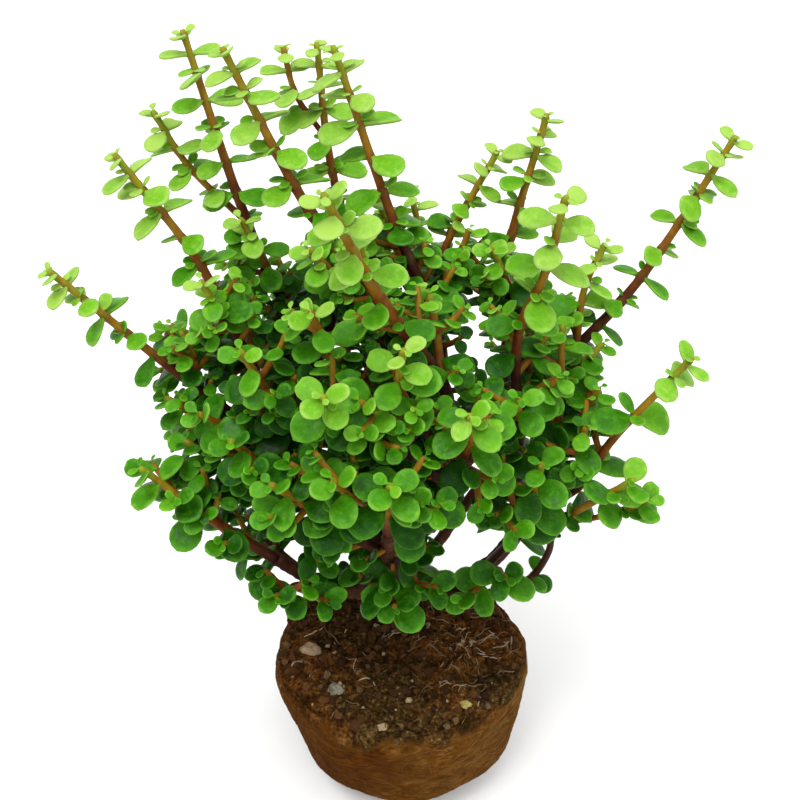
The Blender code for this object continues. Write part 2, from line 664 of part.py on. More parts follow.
def build_root_ball(wood):
    """The root ball: a lumpy tapered cylinder of soil with a hole for the trunk."""
    trunk = wood["trunk"]
    hole = trunk.at(0)
    hole_radius = trunk.thick + HOLE_CLEARANCE
    rows = []
    turns = [math.tau * s / BALL_SEGMENTS for s in range(BALL_SEGMENTS)]
    for height, _ in reversed(BALL_SIDE):
        rows.append([side_point(turn, height * MM) for turn in turns])
    for ring in range(1, BALL_TOP_RINGS + 1):
        share = ring / BALL_TOP_RINGS
        row = []
        for turn, rim in zip(turns, rows[len(BALL_SIDE) - 1]):
            mouth = hole + Vector((math.cos(turn), math.sin(turn), 0)) * hole_radius
            spot = rim.lerp(mouth, share)
            row.append(Vector((spot.x, spot.y, soil_height(spot.x, spot.y))))
        rows.append(row)
    rows.append([Vector((spot.x, spot.y, HOLE_FLOOR - GAP)) for spot in rows[-1]])
    corners = [corner for row in rows for corner in row]
    faces = [tuple(range(BALL_SEGMENTS))[::-1]]
    for k in range(len(rows) - 1):
        for s in range(BALL_SEGMENTS):
            a = k * BALL_SEGMENTS + s
            b = k * BALL_SEGMENTS + (s + 1) % BALL_SEGMENTS
            faces.append((a, b, b + BALL_SEGMENTS, a + BALL_SEGMENTS))
    last = (len(rows) - 1) * BALL_SEGMENTS
    faces.append(tuple(last + s for s in range(BALL_SEGMENTS)))
    return add_object("root_ball", corners, faces)


def stone_shape(index, middle, sizes, scale):
    """An angular stone: the hull of points drawn on an ellipsoid."""
    draw = random.Random(STONE_SEED + index)
    hull = bmesh.new()
    for _ in range(STONE_POINTS):
        spot = Vector(draw.gauss(0, 1) for _ in range(3)).normalized()
        hull.verts.new(middle + Vector(spot[k] * sizes[k] * MM * scale for k in range(3)))
    bmesh.ops.convex_hull(hull, input=hull.verts)
    loose = [vert for vert in hull.verts if not vert.link_faces]
    bmesh.ops.delete(hull, geom=loose, context="VERTS")
    bmesh.ops.recalc_face_normals(hull, faces=hull.faces)
    hull.verts.index_update()
    corners = [vert.co.copy() for vert in hull.verts]
    faces = [tuple(vert.index for vert in face.verts) for face in hull.faces]
    hull.free()
    return corners, faces


def build_stones(ball):
    """The stones on the soil, and the dimples that they lie in."""
    dimples = []
    for index, (name, (spot, sizes, rise, colour)) in enumerate(STONES.items()):
        middle = place((*spot, rise))
        middle.z += soil_height(middle.x, middle.y)
        stone = add_object(name, *stone_shape(index, middle, sizes, 1.0))
        finish(stone, paint(name, colour, 0.8))
        dimples.append(stone_shape(index, middle, sizes, DIMPLE_SCALE))
    cut_or_join(ball, dimples, "DIFFERENCE")


def main():
    """Clear the scene and build the plant."""
    for thing in list(bpy.data.objects):
        bpy.data.objects.remove(thing)
    room = Room()
    wood = grow_wood(room)
    stems, sets = grow_stems(wood, room)
    leaves = grow_leaves(room, stems, sets)
    build_wood(wood)
    for name, branches in stems.items():
        build_shoot(name, branches, leaves[name])
    ball = build_root_ball(wood)
    build_stones(ball)
    finish(ball, paint("soil", (0.13, 0.07, 0.04), 0.95))


main()
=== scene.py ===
"""The looks of a dwarf jade bonsai (Portulacaria afra) on its bare root ball.

Metres, +Z up, -Y is the front, as in the frame. The plant grows here from the same
points and by the same rules as its solids. Then it gets what they leave out: the leaf
pairs between theirs, short side shoots, fine leaves, bark, roots and crumbly soil.
"""

import math
import random
from collections import namedtuple
from itertools import product

import bmesh
import bpy
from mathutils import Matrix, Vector, noise
from mathutils.bvhtree import BVHTree


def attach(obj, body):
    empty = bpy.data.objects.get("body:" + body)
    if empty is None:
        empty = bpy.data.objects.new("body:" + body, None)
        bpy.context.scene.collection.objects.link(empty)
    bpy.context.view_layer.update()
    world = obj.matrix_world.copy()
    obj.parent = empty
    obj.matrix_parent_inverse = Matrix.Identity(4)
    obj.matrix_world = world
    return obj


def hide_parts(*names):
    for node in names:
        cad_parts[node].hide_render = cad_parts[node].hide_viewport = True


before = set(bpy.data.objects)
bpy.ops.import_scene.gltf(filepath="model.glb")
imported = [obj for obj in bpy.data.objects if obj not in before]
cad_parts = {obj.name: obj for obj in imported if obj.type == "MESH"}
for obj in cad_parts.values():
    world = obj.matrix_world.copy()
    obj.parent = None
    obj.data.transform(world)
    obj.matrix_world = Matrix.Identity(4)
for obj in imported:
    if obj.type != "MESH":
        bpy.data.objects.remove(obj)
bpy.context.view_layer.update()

MM = 0.001
UP = Vector((0, 0, 1))
GAP = 0.3 * MM
GOLDEN_ANGLE = math.radians(137.508)
ALL_RANKS = range(99)

# Root ball, as in its solid: height and radius of its side from the rim down in
# millimetres, how far its foot sits to the right and to the back of its rim, and its
# lumps and clods.
BALL_HEIGHT = 66 * MM
BALL_SIDE = ((66, 55), (50, 53.6), (34, 51.6), (19, 50), (7, 41), (0, 35.5))
BALL_FOOT_SHIFT = (5, 10)
BALL_FOOT_CURVE = 1.7
BALL_LUMP = 0.7 * MM
BALL_WAVES = ((3, 40, 0.0), (7, -90, 1.3))
BALL_CALM = 12 * MM
SOIL_DOME = 2.5 * MM
SOIL_CLOD = 1.0 * MM
SOIL_DOME_CURVE = 4
SOIL_WAVES = ((0.5, 110, 210, 0.7), (0.5, 270, -90, -0.7), (0.6, 330, -210, 2.1))

# Stones on the soil, in millimetres: place across and back, half sizes, height of
# the middle over the soil, and how they look.
STONES = {
    "stone_beige": ((-38.9, -7.5), (5.4, 4.4, 3.2), 0.0, "beige_stone"),
    "stone_grey": ((-25.9, -29.0), (4.3, 3.8, 3.0), -0.25, "grey_stone"),
    "stone_yellow": ((26.3, -36.6), (3.6, 2.6, 2.2), -0.4, "yellow_stone"),
    "stone_chip": ((-43.4, -14.6), (2.9, 2.3, 1.9), -0.25, "beige_stone"),
}
STONE_POINTS = 14
STONE_SEED = 287

# Wood, in millimetres: the limb that carries it, place on that limb as a share of its
# length, points up to the end, radius at the base and at the end.
LIMBS = {
    "trunk": (None, 0, [(2, 10, 44), (2, 10, 68), (1, 8, 92), (0, 6, 116)], 6.8, 5.4),
    "leader": ("trunk", 1.0, [(1, 4, 156), (4, 4, 196)], 4.8, 3.3),
    "limb_left": ("trunk", 0.85, [(-24, -6, 146), (-42, -14, 186)], 4.2, 2.9),
    "limb_right": ("trunk", 0.55, [(32, -4, 109), (45, -11, 136), (43, -14, 167)], 3.6, 2.5),
    "limb_left_back": ("trunk", 0.95, [(-20, 20, 158), (-36, 28, 200)], 4.2, 2.9),
    "limb_back": ("trunk", 0.8, [(8, 32, 140), (10, 52, 180)], 4.0, 2.7),
    "limb_back_right": ("leader", 0.2, [(28, 18, 150), (48, 30, 190)], 3.8, 2.7),
    "limb_front": ("trunk", 0.9, [(-4, -24, 132), (-4, -42, 158)], 3.8, 2.6),
    "limb_front_right": ("trunk", 0.98, [(10, -14, 150), (16, -28, 196)], 3.8, 2.7),
    "limb_left_low": ("trunk", 0.6, [(-26, -18, 112), (-46, -34, 140)], 3.6, 2.5),
    "limb_back_left": ("trunk", 0.7, [(-24, 28, 118), (-44, 44, 150)], 3.6, 2.5),
    "limb_back_low": ("trunk", 0.6, [(23, 30, 108), (48, 44, 140)], 3.0, 2.3),
}
LIMB_SIDES = 6

# Leafy shoots, in millimetres: limb, place on it (1 butts against its end), points
# to the tip, radius at the base, leaf length, share of the stem below its leaves, and
# forks as place on the stem and tip. A cut one keeps a bare stump above its leaves.
Shoot = namedtuple("Shoot", "limb place points radius leaf bare forks cut", defaults=(False,))
SHOOTS = {name: Shoot(*row) for name, *row in (
    ("tall_left_back", "limb_left_back", 1, [(-48, 23, 226), (-57, 16, 261), (-72, 25, 314)], 2.5, 10.5,
     0.42, [(0.45, (-84, 20, 289)), (0.2, (-54, 2, 257))]),
    ("tall_left", "leader", 1, [(-9, 2, 228), (-31, -5, 264), (-54, -5, 313)], 2.8, 11, 0.4, []),
    ("left_high", "limb_left", 1, [(-54, -13, 214), (-68, -9, 247), (-90, -10, 282)], 2.4, 10.5, 0.32,
     [(0.35, (-64, -24, 245))]),
    ("tall_back", "leader", 0.85, [(-12, 22, 216), (-25, 35, 265), (-29, 40, 308)], 2.6, 10.5, 0.48,
     [(0.75, (-41, 42, 306))]),
    ("tall_middle", "leader", 0.7, [(15, -3, 202), (11, -4, 226), (-2, 1, 256), (-21, 5, 312)], 2.6,
     11.5, 0.42, []),
    ("front_tall", "limb_front_right", 1, [(13, -38, 216), (-7, -52, 253), (-20, -66, 286)], 2.9, 10,
     0.3, []),
    ("back_short", "leader", 0.95, [(11, 14, 214), (17, 25, 239), (35, 30, 273)], 2.1, 10, 0.36, []),
    ("right_back_tall", "limb_back_right", 1, [(46, 26, 212), (39, 20, 235), (50, 20, 288)], 2.3, 10.5,
     0.32, [(0.3, (31, 2, 247))]),
    ("right_large", "limb_right", 0.93, [(42, -24, 180), (38, -30, 226), (44, -37, 252),
     (47, -45, 279)], 2.3, 11.5, 0.5, [(0.3, (37, -50, 216))]),
    ("right_tall", "limb_right", 1, [(46, -8, 185), (60, 0, 204), (85, 5, 234), (112, 10, 283)], 2.5,
     10.5, 0.32, [(0.36, (70, 0, 249)), (0.25, (72, -6, 214))]),
    ("right_middle", "limb_right", 0.62, [(52, -19, 151), (65, -25, 166), (74, -30, 190),
     (95, -33, 222)], 2.1, 13, 0.42, [(0.5, (62, -36, 198))]),
    ("right_low", "limb_right", 0.5, [(45, -20, 139), (57, -30, 154), (78, -46, 183)], 1.9, 15, 0.4,
     [(0.5, (85, -42, 172))]),
    ("cut_twig", "limb_right", 0.22, [(35, -15, 107), (49, -24, 121), (55, -29, 138), (55.5, -31, 150)],
     1.7, 10.5, 0.45, [], True),
    ("right_lowest", "limb_right", 0.42, [(38, -20, 123), (38, -31, 129), (38, -42, 138)], 1.8, 14.5,
     0.3, [(0.5, (24, -38, 124))]),
    ("left_out", "limb_left", 0.85, [(-58, -12, 186), (-85, -15, 214), (-114, -20, 247)], 2.3, 10.5,
     0.3, [(0.4, (-76, -10, 221)), (0.2, (-82, -20, 200))]),
    ("left_side", "limb_left_back", 0.9, [(-50, 14, 200), (-68, 8, 208), (-86, 4, 216)], 2.1, 10.5, 0.3,
     [(0.5, (-90, 0, 200))]),
    ("left_low_out", "limb_left_low", 1, [(-56, -36, 150), (-69, -38, 163), (-87, -43, 186)], 2.2, 12.5,
     0.3, [(0.4, (-78, -24, 176))]),
    ("front_left_low", "limb_left_low", 0.75, [(-40, -36, 128), (-42, -42, 130), (-44, -50, 136)], 1.7,
     13.5, 0.2, [(0.3, (-26, -46, 130))]),
    ("front_low", "limb_front", 0.45, [(-2, -24, 118), (-2, -32, 118), (-2, -42, 124)], 1.7, 14.5, 0.2,
     [(0.3, (14, -38, 130))]),
    ("front_bright", "limb_front", 1, [(-4, -54, 170), (-4, -66, 186), (-3, -78, 203)], 2.2, 13, 0.3,
     [(0.3, (12, -68, 189))]),
    ("front_left", "limb_front", 0.75, [(-16, -40, 154), (-28, -54, 176), (-40, -66, 195)], 2.0, 12.5,
     0.35, [(0.45, (-22, -62, 180))]),
    ("front_right", "limb_front_right", 0.75, [(18, -38, 182), (22, -56, 204), (20, -72, 223)], 2.0, 12,
     0.35, [(0.35, (30, -60, 193))]),
    ("front_high", "limb_front_right", 0.9, [(8, -42, 200), (0, -54, 222), (1, -64, 240)], 1.9, 11.5,
     0.35, []),
    ("front_left_high", "leader", 0.6, [(-10, -14, 182), (-20, -46, 208), (-22, -72, 229)], 2.1, 12,
     0.45, []),
    ("left_front", "limb_left", 0.7, [(-38, -24, 172), (-48, -38, 186), (-54, -52, 202)], 2.0, 12.5,
     0.3, [(0.4, (-66, -40, 205))]),
    ("left_front_high", "limb_left", 0.97, [(-42, -26, 194), (-44, -34, 210), (-50, -42, 229)], 1.9,
     11.5, 0.3, []),
    ("left_middle", "limb_left", 0.55, [(-42, -18, 162), (-58, -24, 170), (-74, -31, 189)], 2.0, 12.5,
     0.3, [(0.5, (-79, -12, 185)), (0.3, (-64, -34, 188))]),
    ("front_right_low", "limb_right", 0.8, [(45, -28, 158), (46, -40, 174), (46, -50, 192)], 1.9, 13.5,
     0.3, [(0.45, (32, -48, 170))]),
    ("right_high", "limb_right", 0.98, [(56, -20, 176), (56, -18, 198), (55, -16, 226)], 1.9, 11.5, 0.3,
     []),
    ("middle_high", "leader", 0.98, [(2, -8, 214), (-10, -14, 236), (-13, -20, 258)], 1.8, 10.5, 0.3,
     []),
    ("back_middle", "limb_back", 1, [(12, 60, 200), (10, 68, 222), (4, 72, 246)], 2.3, 11, 0.3,
     [(0.3, (26, 66, 218))]),
    ("back_left", "limb_back_left", 1, [(-52, 52, 166), (-62, 58, 186), (-72, 60, 208)], 2.2, 12, 0.3,
     [(0.3, (-48, 70, 182))]),
    ("back_right", "limb_back_low", 1, [(56, 52, 156), (66, 58, 176), (76, 60, 200)], 2.2, 12, 0.3,
     [(0.3, (54, 68, 178))]),
)}

# Shoots that fill the crown's back, in millimetres: tips spread by the golden angle
# over an ellipsoid, each reached from the nearest limb by a stem that leaves it
# sideways and sags a little, with one fork. A start or a fork goes so much outward
# and so much along its host.
CROWN_CENTRE = (0, 6, 176)
CROWN_RADII = (80, 78, 74)
CROWN_TIPS = 90
CROWN_LOWEST = 122
CROWN_FRONT = -4
CROWN_SHOOTS = 16
CROWN_SPREAD = 29
CROWN_REACH = (26, 78)
FILL_RADIUS = 2.0
FILL_LEAF = 12
FILL_BARE = 0.3
FILL_PLACES = [share / 20 for share in range(8, 20)]
FILL_LEAST_LEAN = 0.1
FILL_START = (0.176, 0.11)
FILL_MIDDLE = 0.6
FILL_SAG = 0.06
FORK_PLACE = 0.4
FORK_REACH = (14.3, 16.5)
FORK_TRIES = 8
FORK_BARE = 0.2

# Stems: ring spacing, number of sides, a fork's thickness and bulge as shares of its
# host's radius and of its own length, and the ends of grown tips and of cut stumps.
CURVE_PARTS = 24
RING_LENGTH = 22 * MM
SHOOT_SIDES = 5
FORK_SIDES = 4
FORK_THICKNESS = 0.72
FORK_BULGE = 0.1
TIP_RADIUS = 1.1 * MM
CUT_RADIUS = 1.25 * MM
CUT_STUMP = 0.3

# Leaves: share of the length and of the width of the two rim points on each side, and
# for the pairs from the tip down their size, angle to the stem and distance to the
# pair before. A leaf levels out, whatever its stem's lean, and sags, the more so on the
# plant's light side. Its face looks partly along its stem, partly up and partly to the
# light. Pairs stand crosswise, the first one turned by PAIR_START from the level, which
# LEVEL_NUDGE settles on an upright stem.
LEAF_RIM = ((0.36, 0.39), (0.78, 0.45))
LEAF_KEEL = 0.45
LEAF_WIDTH = 0.80
LEAF_THICKNESS = 2.0 * MM
LEAF_FACE_RISE = 0.3
LEAF_ROOT = 0.55
LEAF_ALONG_STEM = 0.5
LIGHT_SIDE = Vector((0, -1, 0))
LEAF_TO_LIGHT = 0.4
LEAF_SLOPE = 0.45
LEAF_SAG = (0.04, 0.32)
LEAF_TILT_SPREAD = 18
LEAF_SIZE_SPREAD = (0.9, 1.12)
LEAF_WIDTH_SPREAD = (0.94, 1.08)
LEAF_ANGLE_SPREAD = 8
LEVEL_NUDGE = Vector((0.01, 0.02, 0))
PAIR_START = 45
PAIR_ROLL_SPREAD = 18
PAIR_SIZES = (0.62, 0.86, 0.98, 1.04, 1.0)
PAIR_ANGLES = (46, 64, 76, 84, 88)
PAIR_SPACING = (3.0, 5.2, 6.4, 8.0, 9.5, 10.5)
SPACING_LEAF = 10 * MM
LEAF_ROLLS = (0, 22, -22, 44, -44)
LEAF_MARGIN = 0.35 * MM
SOIL_MARGIN = 5 * MM
SEED = 41
CELL = 16 * MM

# Corners of a leaf's simple shape: root, rim from right to left, keel.
BLADE_FACES = [(5, 4, 6), (4, 3, 6), (3, 2, 6), (2, 1, 6)]
LEAF_FACES = [(0, 1, 2, 3, 4, 5), (0, 5, 6), (1, 0, 6)] + BLADE_FACES
BLADE_ALONE = [(1, 2, 3, 4, 5)] + BLADE_FACES

# Ranks of the leaf pairs, counted from the tip, that the solids have on a stem and on a
# fork, and those between them.
SOLID_PAIRS = ((0, 1, 3, 5, 7), (0, 1))
OTHER_PAIRS = [[rank for rank in ALL_RANKS if rank not in pairs] for pairs in SOLID_PAIRS]

# Forks beyond those of the solids, in millimetres: place on the stem and tip. Then the
# shoots that carry no more leaves than their solids do.
MORE_FORKS = {
    "tall_left": [(0.3, (-29, -22, 255))],
    "tall_middle": [(0.36, (-8, 12, 262))],
    "front_tall": [(0.2, (9, -30, 243))],
    "back_short": [(0.4, (25, 18, 248))],
    "front_left_high": [(0.5, (-27, -46, 244)), (0.45, (-10, -64, 211))],
    "right_high": [(0.4, (68, -24, 206))],
    "left_front_high": [(0.3, (-34, -38, 218))],
    "front_bright": [(0.5, (-20, -74, 202))],
    "front_high": [(0.4, (-12, -62, 222))],
    "middle_high": [(0.4, (8, -22, 236))],
    "front_left": [(0.5, (-24, -62, 200))],
}
SPARSE = ("right_low", "right_middle")
MORE_FORKS_SEED = 503
MORE_PAIRS_SEED = 1006
LOOKS_SEED = 1509

# Short side shoots between the leaves: distance between them on a stem, their reach,
# how far out, up and in a bulge they go as shares of it, their leaves' length low down
# and high up, the clear room wanted round a tip as a share of that, and the crown that
# they stay in, which starts higher to both sides.
SPUR_SPACING = 6 * MM
SPUR_REACH = (7 * MM, 19 * MM)
SPUR_OUT = 0.75
SPUR_UP = 0.33
SPUR_BULGE = 0.1
SPUR_TIP = 0.8
SPUR_BARE = 0.3
SPUR_ROOM = 0.46
SPUR_LEAVES = ((140, 13.5), (245, 8.0))
SPUR_SPAN = (0.12, 0.8)
SPUR_TURNS = (0, 70, -70, 140, -140)
SPUR_MIDDLE = (-8, 2, 186)
SPUR_CROWN = (86, 84, 68)
SPUR_LOWEST = 122 * MM
SPUR_RISE = (0.6, 0.9)
SPUR_SIDES = (-36 * MM, -2 * MM)
SPUR_RADIUS = 1.3 * MM
SPUR_SEED = 907

# Openings that stay free between the side shoots: where each line of sight from the
# plant's front crosses its middle plane (x and z), and the clear radius round it, past
# which a leaf may reach by so much of its length.
FRONT = (0, -300, 356)
OPENINGS = ((-28, 142, 3.0), (-31, 126, 3.0), (-24, 134, 2.5), (-14, 130, 3.0), (-6, 123, 3.0),
            (17, 128, 3.0), (26, 129, 3.0), (22, 121, 3.0), (30, 150, 2.5), (29, 206, 1.5),
            (-42, 245, 3.0), (-20, 258, 3.0))
OPENING_LEAF = 0.4

# Fine leaf: share of the length and half width along it, and its section as place
# across and height. It is plumper when short, thins towards the tip and starts inside
# its stem. The cup, the bend, the twist and the blunt tip are drawn for each leaf.
LEAF_OUTLINE = ((0.0, 0.09), (0.09, 0.19), (0.21, 0.335), (0.37, 0.45), (0.54, 0.50),
                (0.70, 0.48), (0.84, 0.39), (0.945, 0.245))
LEAF_SECTION = ((1.0, 0.0), (0.86, 0.62), (0.45, 1.0), (0.0, 0.82), (-0.45, 1.0), (-0.86, 0.62),
                (-1.0, 0.0), (-0.86, -0.62), (-0.35, -1.0), (0.35, -1.0), (0.86, -0.62))
LEAF_HALF_THICK = 0.085
LEAF_PLUMP = (1.15, 0.25, 16 * MM)
LEAF_THINNING = 5
LEAF_STALK = (-0.6, 0.07, 0.9)
LEAF_CUP = (0.0, 0.26)
LEAF_CUP_CURVE = 1.6
LEAF_BEND = (-0.26, 0.06)
LEAF_TWIST = (-0.25, 0.25)
LEAF_BLUNT = (0.94, 1.05)
LEAF_MIDDLE = 0.5

# How pale a leaf's rim is: curve across the leaf, and from where on how pale its tip is.
RIM_CURVE = 9
RIM_TIP = (0.9, 0.6)

# How young a leaf looks, from its pair's rank, with painted light and shade over it: from
# where on and over what depth of the crown it stands in the open, up to what, from what
# height on and over what height it is high, and how much light it gets: at least, in the
# open, and high inside and outside. Leaves deep inside and low down get painted shade.
YOUTH = (0.94, 0.88, 0.79, 0.69, 0.62, 0.57, 0.53)
PAINTED_LIGHT_OPEN = (0.62, 0.5, 1.15)
PAINTED_LIGHT_HIGH = (100 * MM, 150 * MM)
PAINTED_LIGHT_LEVELS = (0.08, 0.50, 0.38, 0.4, 0.6)
PAINTED_LIGHT_RISE = (0.42, 0.56)
YOUTH_SPREAD = 0.12

# Buds: how many leaves have them, how deep in the crown they stop, their size, how they
# are turned from their leaf, and where they sit.
BUD_SHARE = 0.7
BUD_DEPTH = 0.86
BUD_SIZE = (0.5, 0.85)
BUD_TURNS = (-36, 36)
BUD_TIP_TURNS = (90,)
BUD_TIP_PLACE = 0.985
BUD_RISE = 1.2 * MM
BUD_SEED = 331

# Fine stems: distance between rings, sides, their narrow end, and the swelling at each
# leaf pair. They look old down their length, low down and where cut, and are painted
# darker inside the crown and on its side shoots, as painted shade.
STEM_RING = 1.4 * MM
STEM_SIDES = 9
TWIG_SIDES = 7
LEAST_RINGS = 6
STEM_END = 0.72
KNOT_WIDTH = 1.0 * MM
KNOT_SWELL = 0.18
STEM_OLD = 90 * MM
STEM_SHADE = 1.9
OLD_CUT = 0.6
SPUR_SHADE = 0.24
SHADE_INSIDE = 0.42
LOW_WOOD = (165 * MM, 30 * MM)

# Bark: sides and rings of the limbs, how much and up to where the trunk's foot flares,
# size of the voxels that join them, their smoothing, and wrinkles along and round them.
BARK_SIDES = 14
BARK_RING = 2 * MM
BARK_FLARE = (1.2 * MM, 7 * MM)
BARK_VOXEL = 0.95 * MM
BARK_SMOOTHING = 4
BARK_WRINKLE = 0.35 * MM
BARK_ALONG = (500, 130)
BARK_ROUND = (90, 620)
BARK_ROUND_SHARE = 0.7

# Root ball: how finely its side and its soil are cut, and how its rim is rounded off.
SIDE_TURNS = 260
SIDE_ROWS = 84
SOIL_ROWS = 64
SOIL_CENTRE = 0.995
SOIL_BLEND_ROWS = 3
RIM_ROUND = (7 * MM, 2.6 * MM)
FOOT_CALM = 2 * MM

# Coir mat and the crust of soil that hangs over the rim: how deep and how far down.
# The ball is painted darker low down on the right, a painted shadow, and elsewhere paler
# to the right, painted light from that side, with random patches of pale straw.
MAT_DEPTH = 0.8 * MM
MAT_SHARE = 0.6
MAT_LONG = (110, 300)
MAT_SHORT = (420, 500)
LUMP_STEEP = 1.25
SIDE_LUMPS = 150
CRUST_DEPTH = 8 * MM
CRUST_EDGE = (0.7, 0.9, 5.1, 0.35, 17)
CRUST_FADE = 4 * MM
CRUST_OVER = 1.3 * MM
LOW_RIGHT_SHADE = (12 * MM, 0.5, 9 * MM, 1.5)
STRAW_AND_PAINTED_LIGHT = (0.35, 75 * MM, 0.5, 40)

# Soil: scale of its clods, crumbs, grains and swells, with their height in millimetres
# and the level they swing about, how flat it lies by the rim and round a stone, and the
# pit to the right of the trunk.
CLODS = (95, 3.6, 0.45)
CLOD_PIECES = (260, 1.8, 0.4)
CLOD_OFFSET = Vector((0.3, 0.1, 0))
GRAINS = (900, 0.5)
SWELLS = (45, 3.4)
RIM_RELIEF = (0.35, 6)
STONE_CALM = (1.5, 4)
PIT = (33 * MM, -18 * MM, 7 * MM, 4 * MM)

# Loose things, in millimetres unless they say otherwise: how many fibres, roots and
# crumbs, where they lie, and the seed that spreads them. Three roots in four lie to the
# right, about a middle with a spread, and the rest anywhere between two edges.
STRAND_TAPER = (0.35, 0.65, 0.3, 0.4)
FIBRES = 1100
FIBRE_STEPS = 5
FIBRE_SIDES = 3
FIBRE_HEIGHTS = (2, 62)
FIBRE_LENGTHS = (3, 11)
FIBRE_LIFTS = (0.05, 0.25)
FIBRE_RADII = (0.05, 0.11)
FIBRE_WAVE = (5, 0.6 * MM)
FIBRE_EDGES = (0.8 * MM, 2 * MM)
FIBRE_ROUND = 52 * MM
FIBRE_SLOPE = 0.7
FIBRE_TONE = (0.75, 0.5)
ROOTS = 120
ROOT_STEPS = 7
ROOT_SIDES = 5
ROOT_LEAST_POINTS = 4
ROOT_RIGHT = ((30, 11), (-6, 14))
ROOT_WIDE = ((-46, 20), (-46, 30))
ROOT_LENGTHS = (3, 11)
ROOT_RADII = (0.12, 0.36)
ROOT_ARCH = 0.9 * MM
ROOT_SUNK = 0.1 * MM
ROOT_TURN = 0.6
ROOT_EDGE = 52 * MM
CRUMBS = 900
CRUMB_REACH = 51
CRUMB_SIZES = (0.5, 1.9)
CRUMB_SPREAD = (0.7, 1.3)
CRUMB_RISE = 0.25
CRUMB_PALE = 0.06
CRUMB_FIRST = 50
CRUMB_CREASE = 50
LOOSE_SEED = 1201

# Stones' dark, middle and light colours, worn edges and pits.
STONE_COLOURS = {
    "beige_stone": ((0.14, 0.09, 0.05), (0.28, 0.19, 0.11), (0.38, 0.28, 0.18)),
    "grey_stone": ((0.05, 0.045, 0.03), (0.14, 0.125, 0.09), (0.25, 0.22, 0.17)),
    "yellow_stone": ((0.11, 0.08, 0.02), (0.26, 0.21, 0.05), (0.38, 0.33, 0.12)),
}
STONE_EDGE = 0.35 * MM
STONE_PITS = (0.22 * MM, 900)

# Studio: where each soft light comes from, its strength and width in degrees, the even
# light around, the floor that rises into a low wall all round, and the camera.
LIGHTS = {"sun": ((0.15, -0.40, 1.0), 4.0, 95), "window": ((-0.30, -0.42, 1.0), 1.5, 22)}
SKY_POWER = 0.36
FLOOR_DROP = -0.1 * MM
COVE_FLOOR = 4.5
COVE_BEND = 1.5
COVE_WALL = 3.0
COVE_STEPS = 12
COVE_SIDES = 96
FLOOR_COLOURS = ((0.72, 0.72, 0.715), (0.76, 0.76, 0.755))
CAMERA_PLACE = (0, -0.300, 0.356)
CAMERA_TILT = 60.7
CAMERA_LENS = 41.4
CAMERA_SENSOR = 36
CAMERA_NEAR = 0.01

Leaf = namedtuple("Leaf", "base along side up stalk length width stem share rank roll")


def clamp(value):
    """The value, held between 0 and 1."""
    return min(1.0, max(0.0, value))


def place(point):
    """A point given in millimetres, as a vector in metres."""
    return Vector(point) * MM


def round_about(turn, far=1.0, height=0.0):
    """The point at a turn round the plant's axis, so far out and so high."""
    return Vector((far * math.cos(turn), far * math.sin(turn), height))


def rough(point, across, up):
    """Noise at a point, finer with a larger scale across and upwards."""
    return noise.noise(Vector((point.x * across, point.y * across, point.z * up)))


def spline(points, steps=8):
    """A Catmull-Rom curve through the points."""
    knots = [points[0] * 2 - points[1], *points, points[-1] * 2 - points[-2]]
    curve = []
    for a, b, c, d in zip(knots, knots[1:], knots[2:], knots[3:]):
        for step in range(steps):
            t = step / steps
            bend = (2 * a - 5 * b + 4 * c - d) * t * t + (3 * b - a - 3 * c + d) * t ** 3
            curve.append((2 * b + (c - a) * t + bend) * 0.5)
    return [*curve, points[-1].copy()]


def even(curve, count):
    """The same curve, as count + 1 points at even distances."""
    lengths = [0.0]
    for a, b in zip(curve, curve[1:]):
        lengths.append(lengths[-1] + (b - a).length)
    points = []
    i = 0
    for k in range(count + 1):
        want = lengths[-1] * k / count
        while i < len(curve) - 2 and lengths[i + 1] < want:
            i += 1
        part = (want - lengths[i]) / (lengths[i + 1] - lengths[i])
        points.append(curve[i].lerp(curve[i + 1], part))
    return points


def square_to(direction, wanted):
    """The part of the wanted direction that is square to another, at length one."""
    return (wanted - direction * wanted.dot(direction)).normalized()


def headings(points, first):
    """The direction at each point, with the first one given."""
    return [first] + [(b - a).normalized() for a, b in zip(points, points[1:])]


def tube(points, aheads, radii, sides, side):
    """Corners of a round tube: a ring of them at each point, square to its heading."""
    corners = []
    for point, ahead, radius in zip(points, aheads, radii):
        side = square_to(ahead, side)
        other = ahead.cross(side)
        for s in range(sides):
            turn = math.tau * s / sides
            corners.append(point + (side * math.cos(turn) + other * math.sin(turn)) * radius)
    return corners


def tube_faces(rings, sides):
    """Faces of a closed tube: one end, the sides ring by ring, and the other end."""
    faces = [tuple(range(sides))[::-1]]
    for a, s in product(range(0, (rings - 1) * sides, sides), range(sides)):
        b = a + (s + 1) % sides
        faces.append((a + s, b, b + sides, a + s + sides))
    return [*faces, tuple(range((rings - 1) * sides, rings * sides))]


